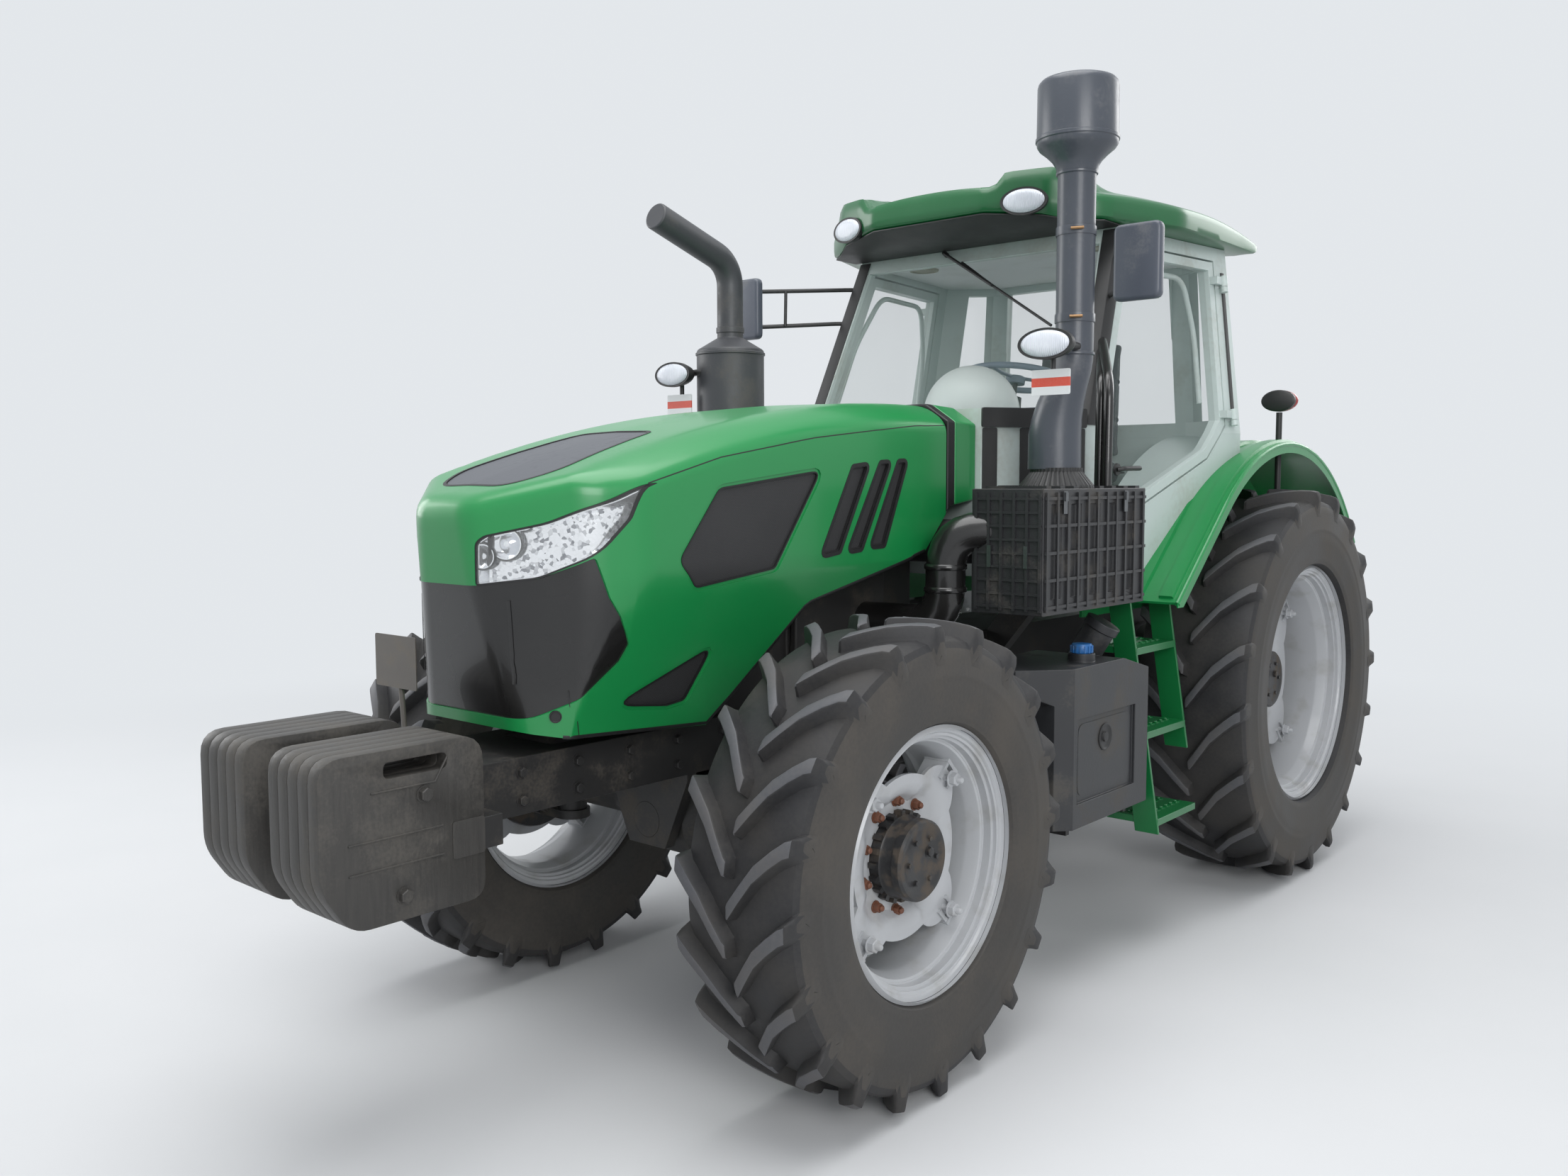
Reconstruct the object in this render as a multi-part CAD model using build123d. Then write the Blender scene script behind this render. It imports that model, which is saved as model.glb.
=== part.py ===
from build123d import *
from collections import namedtuple
from math import cos, degrees, radians, sin
import os

# Four-wheel-drive farm tractor, in millimetres. The nose points to -Y, the
# tractor's left is +X and the ground is Z = 0. The origin lies on the ground
# midway between the front face of the ballast and the eyes of the lower links.

os.makedirs("parts", exist_ok=True)

# ---------------------------------------------------------------- driving sizes
wheelbase = 2780
front_reach = 1430          # ballast face ahead of the front axle
rear_reach = 1060           # lower link eyes behind the rear axle
cab_lead = 2780             # cab's datum line ahead of the rear axle
deck_z = 1965               # highest line of the hood and cowl
seat_gap = 0.3              # between pieces that seat on each other
move_gap = 8                # round doors, hood and other moving panels

front_axle_y = (front_reach - wheelbase - rear_reach) / 2
rear_axle_y = front_axle_y + wheelbase
cab_y = rear_axle_y - cab_lead

# Tyre and rim sizes: 14.9-28 in front and 18.4-38 behind.
Wheel = namedtuple("Wheel", "radius width seat flange rim_width centre_x lugs disc_x disc_hole")
front_wheel = Wheel(665, 375, 355.6, 381, 330, 780, 20, 28, 118)
rear_wheel = Wheel(835, 460, 482.6, 508, 381, 785, 20, -40, 128)
lug_height = 38
lug_foot = 58               # lug width at the tread floor
lug_crest = 40              # lug width at its top
lug_angle = 45              # to the axle, between tread centre and shoulder
rim_sides = 2               # rim facets to each lug pitch


# ---------------------------------------------------------------- shared helpers
def block(x, y, z):
    """A block between a low and a high value on each axis."""
    spans = (x, y, z)
    size = [high - low for low, high in spans]
    centre = [(high + low) / 2 for low, high in spans]
    return Pos(*centre) * Box(*size)


def side_plate(outline, x):
    """(y, z) corners seen from the side, filled between two x planes."""
    face = Face(Wire.make_polygon([(x[0], y, z) for y, z in outline]))
    return Solid.extrude(face, Vector(x[1] - x[0], 0, 0))


def plan_plate(outline, z):
    """(x, y) corners seen from above, filled between two heights."""
    face = Face(Wire.make_polygon([(x, y, z[0]) for x, y in outline]))
    return Solid.extrude(face, Vector(0, 0, z[1] - z[0]))


def front_plate(outline, y):
    """(x, z) corners seen from the front, filled between two y planes."""
    face = Face(Wire.make_polygon([(x, y[0], z) for x, z in outline]))
    return Solid.extrude(face, Vector(0, y[1] - y[0], 0))


def rod(start, end, radius):
    """A round bar between two points."""
    start, end = Vector(*start), Vector(*end)
    along = end - start
    return Solid.make_cylinder(radius, along.length, Plane(start, z_dir=along))


def pipe(points, radius, bend):
    """A round tube, solid, along straight runs joined by bends."""
    path = FilletPolyline(*points, radius=bend)
    return sweep(Plane(path @ 0, z_dir=path % 0) * Circle(radius), path=path)


def turned(profile, origin, axis=(0, 0, 1)):
    """A turned solid from (radius, height) corners round an axis."""
    face = Plane.XZ * make_face(Polyline(*profile, close=True))
    spun = revolve(face, Axis.Z)
    return Plane(origin, z_dir=axis).location * spun


def mirrored(shape):
    return mirror(shape, about=Plane.YZ)


def both_halves(outline):
    """A symmetric outline from its +X half, listed from one end to the other."""
    return list(outline) + [(-x, v) for x, v in reversed(outline) if x > 0]


def save(name, *pieces):
    solids = [solid for piece in pieces for solid in piece.solids()]
    export_step(Compound(solids), f"parts/{name}.step")


# ---------------------------------------------------------------- wheels
def wheel_point(x, radius, angle):
    return Vector(x, radius * cos(radians(angle)), radius * sin(radians(angle)))


def facet_solid(faces):
    """A closed solid from flat faces, each given by its corners."""
    return Solid(Shell([Face(Wire.make_polygon(corners)) for corners in faces]))


def split_quad(a, b, c, d):
    return [(a, b, c), (a, c, d)]


def lug_sweep(wheel):
    """Angle that a lug runs round the tyre between its ends."""
    reach = wheel.width / 2 * (tread_rows[-1].across - tread_rows[0].across)
    return degrees(reach / wheel.radius) * sin(radians(lug_angle)) / cos(radians(lug_angle))


# Where a lug's edges are set out: share of the half width, share of the sweep
# and how far the lug's top lies under the tyre's full radius.
Row = namedtuple("Row", "across swept drop")
tread_rows = (Row(0.05, 0.0, 0), Row(0.46, 0.38, 0), Row(0.93, 1.0, 12))
lug_foot_drop = 48          # lug's outer foot below the tread floor, on the sidewall
bulge_share = 0.42          # height of the widest point between rim and tread floor
bead_inset = 24             # tyre bead inside the rim flange


def tyre(wheel):
    """Lugged tyre round the X axis, in flat facets, one pitch of lugs at a time."""
    pitch = 360 / wheel.lugs
    sweep_angle = lug_sweep(wheel)
    half = wheel.width / 2
    floor = wheel.radius - lug_height
    bulge = wheel.seat + bulge_share * (floor - wheel.seat)
    bead_x = wheel.rim_width / 2 - bead_inset
    bead = wheel.seat + seat_gap

    def lug_points(side, index):
        """One lug's corners by row, then its foot, bulge and bead corners."""
        start = pitch * (index + (0.25 - 0.25 * side))
        rows = []
        for row in tread_rows:
            x = side * row.across * half
            angle = start - sweep_angle * row.swept
            low = floor - row.drop
            crest = wheel.radius - row.drop
            foot_turn = degrees(lug_foot / 2 / low)
            crest_turn = degrees(lug_crest / 2 / crest)
            rows.append((
                wheel_point(x, low, angle - foot_turn),
                wheel_point(x, crest, angle - crest_turn),
                wheel_point(x, crest, angle + crest_turn),
                wheel_point(x, low, angle + foot_turn),
            ))
        end = start - sweep_angle
        low = floor - lug_foot_drop
        turn = degrees(lug_foot / 2 / low)
        foot = [wheel_point(side * half * 0.985, low, end + t) for t in (-turn, turn)]
        evens = (end - pitch / 4, end + pitch / 4)
        widest = [wheel_point(side * half, bulge, angle) for angle in evens]
        seat = [wheel_point(side * bead_x, bead, angle) for angle in evens]
        return rows, foot, widest, seat

    lugs = {
        side: [lug_points(side, index) for index in range(wheel.lugs)]
        for side in (1, -1)
    }
    faces = []
    for side in (1, -1):
        for index in range(wheel.lugs):
            rows, foot, widest, seat = lugs[side][index]
            after, after_foot, after_widest, after_seat = lugs[side][(index + 1) % wheel.lugs]
            faces.append(rows[0])
            for near, far, next_near, next_far in zip(rows, rows[1:], after, after[1:]):
                for k in range(3):
                    faces += split_quad(near[k], near[k + 1], far[k + 1], far[k])
                faces += split_quad(near[3], next_near[0], next_far[0], far[3])
            last = rows[-1]
            faces += split_quad(last[1], last[2], foot[1], foot[0])
            faces += [(last[0], last[1], foot[0]), (last[2], last[3], foot[1])]
            faces += split_quad(last[3], after[-1][0], after_foot[0], foot[1])
            faces += split_quad(foot[0], foot[1], widest[1], widest[0])
            faces += split_quad(foot[1], after_foot[0], after_widest[0], widest[1])
            faces.append((widest[0], widest[1], seat[1], seat[0]))
            faces.append((widest[1], after_widest[0], after_seat[0], seat[1]))
    for index in range(wheel.lugs):
        left = lugs[1][index]
        left_after = lugs[1][(index + 1) % wheel.lugs]
        right = lugs[-1][index]
        right_before = lugs[-1][index - 1]
        # The tread floor along the middle, between the two rows of lugs.
        lead, trail = left[0][0][0], left[0][0][3]
        faces += [
            (right_before[0][0][3], lead, trail),
            (right_before[0][0][3], trail, right[0][0][0]),
            (trail, right[0][0][0], right[0][0][3]),
            (trail, right[0][0][3], left_after[0][0][0]),
        ]
        # The seat on the rim.
        faces.append((left[3][0], left[3][1], right[3][0], right_before[3][1]))
        faces.append((left[3][1], left_after[3][0], right[3][1], right[3][0]))
    return facet_solid(faces)


def facet_ring(profile, sides, start):
    """A ring round the X axis in flat facets, from (x, radius) corners."""
    step = 360 / sides
    rings = [[wheel_point(x, r, start + step * s) for x, r in profile] for s in range(sides)]
    faces = []
    for s in range(sides):
        here, there = rings[s], rings[(s + 1) % sides]
        for k in range(len(profile)):
            m = (k + 1) % len(profile)
            faces.append((here[k], here[m], there[m], there[k]))
    return facet_solid(faces)


disc_plate = 14
barrel_wall = 34            # depth of the rim's well below its bead seat
clevis_count = 4


def rim(wheel):
    """Steel rim with its disc, round the X axis; +X faces outward."""
    half = wheel.rim_width / 2
    well = wheel.seat - barrel_wall
    lip = wheel.seat - 6
    profile = [
        (-half, lip), (-half, wheel.flange), (-half + 12, wheel.seat),
        (half - 12, wheel.seat), (half, wheel.flange), (half, lip),
        (half - 60, well), (-half + 60, well),
    ]
    pitch = 360 / wheel.lugs
    start = pitch / 4 - lug_sweep(wheel)
    barrel = facet_ring(profile, wheel.lugs * rim_sides, start)
    front = wheel.disc_x
    back = front - disc_plate
    disc = rod((back, 0, 0), (front, 0, 0), 0.74 * well)
    lobe_reach = well - 26
    lobe_width = 130
    for number in range(clevis_count):
        turn = Rot(360 / clevis_count * number + 45, 0, 0)
        lobe = block((back, front), (-lobe_width / 2, lobe_width / 2), (0, lobe_reach))
        clevis = block((back - 46, back), (-35, 35), (lobe_reach - 60, well + 12))
        disc = disc + turn * lobe + turn * clevis
    disc = disc - rod((back - 1, 0, 0), (front + 1, 0, 0), wheel.disc_hole)
    return barrel + disc


hub_sides = 24
drum_radius = 165


def hub(wheel, inner_x, cap_x):
    """Planetary hub: a drum, the flange that carries the disc and a round cap."""
    face = wheel.disc_x - disc_plate - seat_gap
    cap = wheel.disc_hole - seat_gap
    profile = [
        (inner_x, 0.01), (inner_x, drum_radius - 25), (face - 30, drum_radius - 25),
        (face - 30, drum_radius + 30), (face, drum_radius + 30), (face, cap),
        (cap_x, cap), (cap_x, 0.01),
    ]
    return facet_ring(profile, hub_sides, 0)


# ---------------------------------------------------------------- axles
tyres = {"front": tyre(front_wheel), "rear": tyre(rear_wheel)}
front_axle_z = -tyres["front"].bounding_box().min.Z
rear_axle_z = -tyres["rear"].bounding_box().min.Z

kingpin_x = 585
kingpin_boss = 50
kingpin_half = 95           # half the boss's height
kingpin_radius = 25
shaft_fit = 0.05
knuckle_face_x = 700        # where the front hub starts
rear_final_x = 560          # where the rear axle housing ends

places = (
    ("front", front_wheel, front_axle_y, front_axle_z, knuckle_face_x, 905),
    ("rear", rear_wheel, rear_axle_y, rear_axle_z, rear_final_x, 830),
)
for name, wheel, y, z, housing_x, cap_x in places:
    spot = Pos(wheel.centre_x, y, z)
    inner_x = housing_x + seat_gap - wheel.centre_x
    pieces = {
        "tyre": spot * tyres[name],
        "rim": spot * rim(wheel),
        "hub": spot * hub(wheel, inner_x, cap_x - wheel.centre_x),
    }
    for kind, piece in pieces.items():
        save(f"{kind}_{name}_left", piece)
        save(f"{kind}_{name}_right", mirrored(piece))

# Front axle: a beam with a bulged differential, hung on a lengthwise trunnion.
beam_radius = 62
beam_centre_radius = 145
trunnion_radius = 55
trunnion_half = 190
beam_profile = [
    (0, -kingpin_x), (beam_radius, -kingpin_x), (beam_radius, -300), (95, -200),
    (beam_centre_radius, -110), (beam_centre_radius, 110), (95, 200),
    (beam_radius, 300), (beam_radius, kingpin_x), (0, kingpin_x),
]
axle_spot = (0, front_axle_y, front_axle_z)
front_axle = turned(beam_profile, axle_spot, (1, 0, 0))
front_axle += rod(
    (0, front_axle_y - trunnion_half, front_axle_z),
    (0, front_axle_y + trunnion_half, front_axle_z), trunnion_radius,
)
for side in (1, -1):
    x = side * kingpin_x
    low, high = front_axle_z - kingpin_half, front_axle_z + kingpin_half
    front_axle += rod((x, front_axle_y, low), (x, front_axle_y, high), kingpin_boss)
for side in (1, -1):
    x = side * kingpin_x
    low, high = front_axle_z - kingpin_half, front_axle_z + kingpin_half
    bore = rod((x, front_axle_y, low - 1), (x, front_axle_y, high + 1), kingpin_radius + shaft_fit)
    front_axle -= bore
save("front_axle", front_axle)

# Steering knuckle: a fork over the kingpin boss, the hub carrier and the arm.
arm_reach = 235
arm_inset = 30
arm_top_z = front_axle_z + 30
ear_height = 30
fork_x = kingpin_x + kingpin_boss + 12
fork_half = 60
carrier_x = knuckle_face_x - 10
ear_low = front_axle_z + kingpin_half + seat_gap
knuckle = rod(
    (kingpin_x, front_axle_y, front_axle_z - kingpin_half - ear_height),
    (kingpin_x, front_axle_y, front_axle_z + kingpin_half + ear_height), kingpin_radius,
)
fork_y = (front_axle_y - fork_half, front_axle_y + fork_half)
for low in (ear_low, 2 * front_axle_z - ear_low - ear_height):
    high = low + ear_height
    knuckle += rod((kingpin_x, front_axle_y, low), (kingpin_x, front_axle_y, high), fork_half)
    knuckle += block((kingpin_x, carrier_x), fork_y, (low, high))
reach_z = kingpin_half + ear_height
knuckle += block((fork_x, carrier_x), fork_y, (front_axle_z - reach_z, front_axle_z + reach_z))
knuckle += rod((650, front_axle_y, front_axle_z), (knuckle_face_x, front_axle_y, front_axle_z), 128)
arm_x = kingpin_x - arm_inset
arm_y = front_axle_y + arm_reach
knuckle += plan_plate(
    [(fork_x, front_axle_y + 45), (carrier_x, front_axle_y + 45), (carrier_x, front_axle_y + 95),
     (arm_x + 25, arm_y + 22), (arm_x - 22, arm_y + 22), (arm_x - 22, arm_y - 25)],
    (arm_top_z - 28, arm_top_z),
)
save("knuckle_left", knuckle)
save("knuckle_right", mirrored(knuckle))

# Steering cylinder behind the beam, and the track rod that it slides.
cylinder_y = arm_y
rod_end_half = 24           # half the height of the track rod's ends
cylinder_z = arm_top_z + seat_gap + rod_end_half
cylinder_half = 235
cylinder_lug = (190, 225)   # where the cylinder's brackets hold the beam
cylinder_radius = 38
track_rod_radius = 16
track_end_radius = 30
cylinder_lug_half = 20
cylinder = rod(
    (-cylinder_half, cylinder_y, cylinder_z), (cylinder_half, cylinder_y, cylinder_z), cylinder_radius,
)
for side in (1, -1):
    lug_x = sorted(side * x for x in cylinder_lug)
    lug_z = (cylinder_z - cylinder_lug_half, cylinder_z + cylinder_lug_half)
    cylinder += block(lug_x, (front_axle_y, cylinder_y), lug_z)
cylinder -= rod(
    (-cylinder_half - 1, cylinder_y, cylinder_z), (cylinder_half + 1, cylinder_y, cylinder_z),
    track_rod_radius + shaft_fit,
)
cylinder -= front_axle
save("steering_cylinder", cylinder)
track_rod = rod((-arm_x, cylinder_y, cylinder_z), (arm_x, cylinder_y, cylinder_z), track_rod_radius)
for side in (1, -1):
    x = side * arm_x
    low, high = cylinder_z - rod_end_half, cylinder_z + rod_end_half
    track_rod += rod((x, cylinder_y, low), (x, cylinder_y, high), track_end_radius)
save("track_rod", track_rod)

# ---------------------------------------------------------------- chassis
rail_inner = 110
rail_outer = 180
rail_low = 830
rail_high = 985
ballast_depth = 440
ballast_front_y = front_axle_y - front_reach
ballast_back_y = ballast_front_y + ballast_depth
bolster_front_y = ballast_back_y + 50
bolster_rear_y = front_axle_y - 640
rail_end_y = front_axle_y + 300
rail_z = (rail_low, rail_high)
front_frame = block((-rail_outer, rail_outer), (bolster_front_y, bolster_rear_y), rail_z)
for side in (1, -1):
    x = sorted((side * rail_inner, side * rail_outer))
    front_frame += block(x, (bolster_rear_y, rail_end_y), rail_z)
hanger_plate = 40
for middle in (hanger_plate / 2 - trunnion_half, trunnion_half - hanger_plate / 2):
    y = (front_axle_y + middle - hanger_plate / 2, front_axle_y + middle + hanger_plate / 2)
    hanger = front_plate(
        [(-rail_outer, rail_high - 20), (-rail_outer, rail_low - 20), (-80, front_axle_z - 80),
         (80, front_axle_z - 80), (rail_outer, rail_low - 20), (rail_outer, rail_high - 20)], y,
    )
    front_frame += hanger
front_frame -= rod(
    (0, front_axle_y - trunnion_half - 1, front_axle_z),
    (0, front_axle_y + trunnion_half + 1, front_axle_z), trunnion_radius + shaft_fit,
)

engine_front_y = rail_end_y + seat_gap
engine_rear_y = cab_y + 780
engine_neck = 150           # half width of the rear top, where the ducts start
engine_neck_y = engine_rear_y + 215
engine = block((-190, 190), (engine_front_y, engine_rear_y), (800, 1500))
engine += block((-150, 150), (front_axle_y - 250, engine_front_y), (rail_high + seat_gap, 1480))
engine += block((-engine_neck, engine_neck), (engine_rear_y, engine_neck_y), (1240 + seat_gap, 1570))
save("engine_block", engine)

shaft_end_y = engine_rear_y + 380
housing_low = 610
housing_high = 1130
housing_half = 210
housing_end_y = rear_axle_y + 290
gearbox = side_plate(
    [(engine_rear_y + seat_gap, 760), (engine_rear_y + seat_gap, 1240),
     (engine_rear_y + 220, 1240), (shaft_end_y, housing_high),
     (housing_end_y, housing_high), (housing_end_y, housing_low),
     (shaft_end_y, housing_low), (shaft_end_y, 760)],
    (-housing_half, housing_half),
)

# Cast on it: the rockshaft's box, the top link's ears, the PTO stub, the front
# cab mounts and the arms that carry the tanks.
rock_y = rear_axle_y + 150
rock_z = 1180
rock_radius = 38
rock_box_y = (rock_y - 80, rock_y + 70)
gearbox += block((-housing_half, housing_half), rock_box_y, (housing_high - 5, rock_z + 62))
gearbox -= rod(
    (-housing_half - 1, rock_y, rock_z), (housing_half + 1, rock_y, rock_z), rock_radius + shaft_fit,
)
top_pin_y = housing_end_y + 50
top_pin_z = 985
top_pin = 12.5
for side in (1, -1):
    ear_x = sorted((side * 30, side * 52))
    gearbox += block(ear_x, (housing_end_y - 5, top_pin_y + 28), (top_pin_z - 35, top_pin_z + 35))
gearbox += rod((-52, top_pin_y, top_pin_z), (52, top_pin_y, top_pin_z), top_pin)
pto_radius = 17.45
pto_z = 770
gearbox += rod((0, housing_end_y - 5, pto_z), (0, housing_end_y + 85, pto_z), pto_radius)
tank_x = (560, 900)
tank_front_y = front_axle_y + front_wheel.radius + 135
tank_rear_y = cab_y + 1390
tank_low = 570
sill_z = 1370
mount_outline = [
    (housing_half - 5, 960), (housing_half - 5, 1120), (400, sill_z - seat_gap),
    (480, sill_z - seat_gap), (480, 1300),
]
tank_arm_outline = [
    (housing_half - 5, 900), (housing_half - 5, 780), (540, 540), (860, 540),
    (860, tank_low - seat_gap), (tank_x[0] - seat_gap, tank_low - seat_gap),
    (tank_x[0] - seat_gap, 660), (300, 900),
]
for outline, low, width in (
    (mount_outline, cab_y + 1420, 60),
    (tank_arm_outline, tank_front_y + 80, 22),
    (tank_arm_outline, tank_rear_y - 100, 22),
):
    bracket = front_plate(outline, (low, low + width))
    gearbox = gearbox + bracket + mirrored(bracket)
save("gearbox_housing", gearbox)

# Rear axle housings, each with a cast horn up to the rear cab mount.
trumpet = turned(
    [(0, housing_half + seat_gap), (215, housing_half + seat_gap), (215, housing_half + 30),
     (135, housing_half + 80), (120, 430), (190, 460), (190, rear_final_x), (0, rear_final_x)],
    (0, rear_axle_y, rear_axle_z), (1, 0, 0),
)
horn_outline = [
    (rear_axle_y - 60, 850), (rear_axle_y + 20, 920), (rear_axle_y - 150, sill_z - seat_gap),
    (rear_axle_y - 290, sill_z - seat_gap), (rear_axle_y - 290, 1300), (rear_axle_y - 110, 850),
]
trumpet += side_plate(horn_outline, (350, 420))
save("rear_axle", trumpet, mirrored(trumpet))

shaft_radius = 24
shaft_z = front_axle_z - 20
prop_shaft = rod(
    (0, front_axle_y + trunnion_half + seat_gap, shaft_z),
    (0, shaft_end_y - seat_gap, shaft_z), shaft_radius,
)
save("front_drive_shaft", prop_shaft)

# Ballast: two stacks of slab weights on a carrier in front of the bolster.
slab_count = 5
slab_gap = 0.6
stack_inner = 60
stack_outer = 282
ballast_low = 680
ballast_high = 1100
slab = (stack_outer - stack_inner - slab_gap * (slab_count - 1)) / slab_count
carrier_low = 800
carrier_high = 880
slot_depth = 90             # how far the weights reach over the carrier
grip_y = (ballast_front_y + 170, ballast_front_y + 330)
grip_z = (ballast_high - 75, ballast_high - 40)
slabs = []
for index in range(slab_count):
    low = stack_inner + index * (slab + slab_gap)
    outline = [
        (ballast_front_y + 70, ballast_low), (ballast_front_y, ballast_low + 110),
        (ballast_front_y, ballast_high - 50),
        (ballast_front_y + 40, ballast_high), (ballast_back_y - 70, ballast_high),
        (ballast_back_y, ballast_high - 60), (ballast_back_y, carrier_high + seat_gap),
        (ballast_back_y - slot_depth, carrier_high + seat_gap),
        (ballast_back_y - slot_depth, carrier_low - seat_gap),
        (ballast_back_y, carrier_low - seat_gap), (ballast_back_y, ballast_low),
    ]
    weight = side_plate(outline, (low, low + slab))
    weight -= block((low - 1, low + slab + 1), grip_y, grip_z)
    slabs += [weight, mirrored(weight)]
save("ballast_weights", *slabs)
carrier = block(
    (-stack_outer, stack_outer), (ballast_back_y - slot_depth + 2, bolster_front_y + 5),
    (carrier_low, carrier_high),
)
carrier += block(
    (-rail_outer, rail_outer), (ballast_back_y + seat_gap, bolster_front_y + 5),
    (carrier_low - 60, ballast_high - 120),
)
save("front_frame", front_frame + carrier)

# ---------------------------------------------------------------- hood
hood_half = 420
hood_wall = 14
nose_y = front_axle_y - 912
split_y = cab_y + 853
cowl_rear_y = cab_y + 1005
belt_z = 1450               # the sides lean in below this height
skirt_half = 290            # half width at the skirt's lowest edge
skirt_z = 1000
seal_half = 22
shoulder_drop = 62
shoulder_run = 95


def hood_y(share):
    """A place along the hood, as a share of its length behind the nose."""
    return nose_y + share * (split_y - nose_y)


def bonnet(inset, floor=None):
    """The hood and cowl as one solid form, set in by a wall thickness."""
    top_front = (nose_y + inset, 1658 - inset)
    rise = ThreePointArc(
        top_front, (hood_y(0.46), deck_z - 72 - inset), (cowl_rear_y, deck_z - inset)
    )
    if floor is None:
        lower = [
            (cowl_rear_y, 1640), (split_y - 3, 1620), (hood_y(0.913), 1470),
            (hood_y(0.587), 1337), (hood_y(0.392), skirt_z), (hood_y(0.088), 1040),
            (hood_y(0.045), 1060), (nose_y + 16 + inset, 1442),
        ]
    else:
        lower = [(cowl_rear_y, floor), (nose_y + 90 + inset, floor), (nose_y + 16 + inset, 1442)]
    edge = Polyline(rise @ 1, *lower, rise @ 0)
    profile = make_face([rise, edge])
    half = hood_half - inset
    form = extrude(Plane.YZ * profile, half, both=True)
    crest = form.edges().filter_by(GeomType.CIRCLE)
    form = chamfer(crest, shoulder_run, shoulder_drop)
    plan = plan_plate(
        both_halves([(113, nose_y + inset), (360 - inset / 2, nose_y + 212 + inset),
                     (half, nose_y + 356 + inset / 2), (half, cowl_rear_y)]), (500, 2200),
    )
    low = skirt_z if floor is None else floor
    slope = (hood_half - skirt_half) / (belt_z - skirt_z)
    foot = half - slope * (belt_z - low)
    front = front_plate(
        both_halves([(foot, low), (half, belt_z), (half, 2200)]), (nose_y - 10, cowl_rear_y + 10),
    )
    return form & plan & front


def hood_zone(front_y, rear_y):
    """The whole space across the hood between two y planes."""
    return block((-600, 600), (front_y, rear_y), (500, 2200))


hollow_floor = skirt_z - 60
cowl_floor = 1400
outer_form = bonnet(0)
shell = outer_form - bonnet(hood_wall, floor=hollow_floor)
hood = shell & hood_zone(nose_y - 50, split_y - seal_half - move_gap)
cowl = outer_form - bonnet(hood_wall, floor=cowl_floor)
cowl = cowl & hood_zone(split_y + seal_half + seat_gap, cowl_rear_y + 50)
save("rear_cowl", cowl)
save("hood_seal", shell & hood_zone(split_y - seal_half, split_y + seal_half))

# Cranked hinge arms reach from the pivot in the cowl, under the seam, to the hood.
hinge_y = split_y + 120
hinge_z = deck_z - 32
hinge_eye = 13
hinge_pin = 8
hinge_x = (240, 262)
crank_drop = 150
crank_run = 215
crank_bar = 34
crank_y = hinge_y - crank_run
crank_z = hinge_z - crank_drop
crank_outline = [
    (hinge_y - hinge_eye, hinge_z), (hinge_y + hinge_eye, hinge_z), (hinge_y + hinge_eye, crank_z),
    (crank_y, crank_z), (crank_y, deck_z), (crank_y + crank_bar, deck_z),
    (crank_y + crank_bar, crank_z + crank_bar), (hinge_y - hinge_eye, crank_z + crank_bar),
]
arm = side_plate(crank_outline, hinge_x)
arm += rod((hinge_x[0], hinge_y, hinge_z), (hinge_x[1], hinge_y, hinge_z), hinge_eye)
arm -= rod(
    (hinge_x[0] - 1, hinge_y, hinge_z), (hinge_x[1] + 1, hinge_y, hinge_z), hinge_pin + shaft_fit,
)
arm = arm & bonnet(hood_wall + seat_gap, floor=cowl_floor)
save("hood_hinge_arms", arm, mirrored(arm))

panel_gap = 0.5
panel_wall = 8


def hood_panel(cutter_at, depth, thickness=panel_wall):
    """A panel that fills an opening of the hood, sunk by a depth below its surface."""
    outer = bonnet(depth, floor=hollow_floor)
    return (outer - bonnet(depth + thickness, floor=hollow_floor)) & cutter_at(panel_gap)


def shrink(outline, amount):
    """An outline moved inward by an amount."""
    face = make_face(Polyline(*outline, close=True))
    smaller = offset(face, amount=-amount, kind=Kind.INTERSECTION)
    return smaller


def side_cutter(outline, x):
    """Cutter through both hood sides, from (y, z) corners with a clearance."""
    def cut(gap):
        face = Plane.YZ * shrink(outline, gap)
        right = extrude(Pos(x[0], 0, 0) * face, x[1] - x[0])
        return right + mirrored(right)
    return cut


# The hood's side openings: share of the hood's length, then height, at each corner.
side_openings = (
    ((0.266, 1492), (0.355, 1686), (0.606, 1738), (0.485, 1452), (0.306, 1414)),
    ((0.607, 1482), (0.693, 1747), (0.735, 1755), (0.653, 1492)),
    ((0.681, 1490), (0.773, 1761), (0.800, 1764), (0.715, 1495)),
    ((0.746, 1500), (0.828, 1766), (0.851, 1768), (0.783, 1502)),
    ((0.372, 1241), (0.177, 1108), (0.293, 1082), (0.330, 1090)),
)
meshes = []
for corners in side_openings:
    cutter = side_cutter([(hood_y(share), z) for share, z in corners], (200, 480))
    hood -= cutter(0)
    meshes.append(hood_panel(cutter, 6))

# Grille: the dark front under the nose, with a V-shaped side and louvre bars.
grille_top = 1436
grille_low = 1100
grille_outline = both_halves([(300, grille_low), (392, 1270), (372, grille_top)])


def grille_cutter(gap):
    face = Plane.XZ.offset(-hood_y(0.199)) * shrink(grille_outline, gap)
    return extrude(face, hood_y(0.199) - nose_y + 60)


hood -= grille_cutter(0)
grille_depth = 20           # the grille's back panel under the hood's surface
bar_depth = 6               # the bars' edges under it
bar_count = 9
bar_half = 5
bar_zone = hood_panel(grille_cutter, bar_depth, grille_depth - bar_depth + panel_gap)
bar_pitch = (grille_top - grille_low) / (bar_count + 1)
grille = hood_panel(grille_cutter, grille_depth)
for index in range(bar_count):
    z = grille_low + bar_pitch * (index + 1)
    grille += bar_zone & block((-500, 500), (nose_y - 50, hood_y(0.5)), (z - bar_half, z + bar_half))
save("grille", grille)

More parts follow.
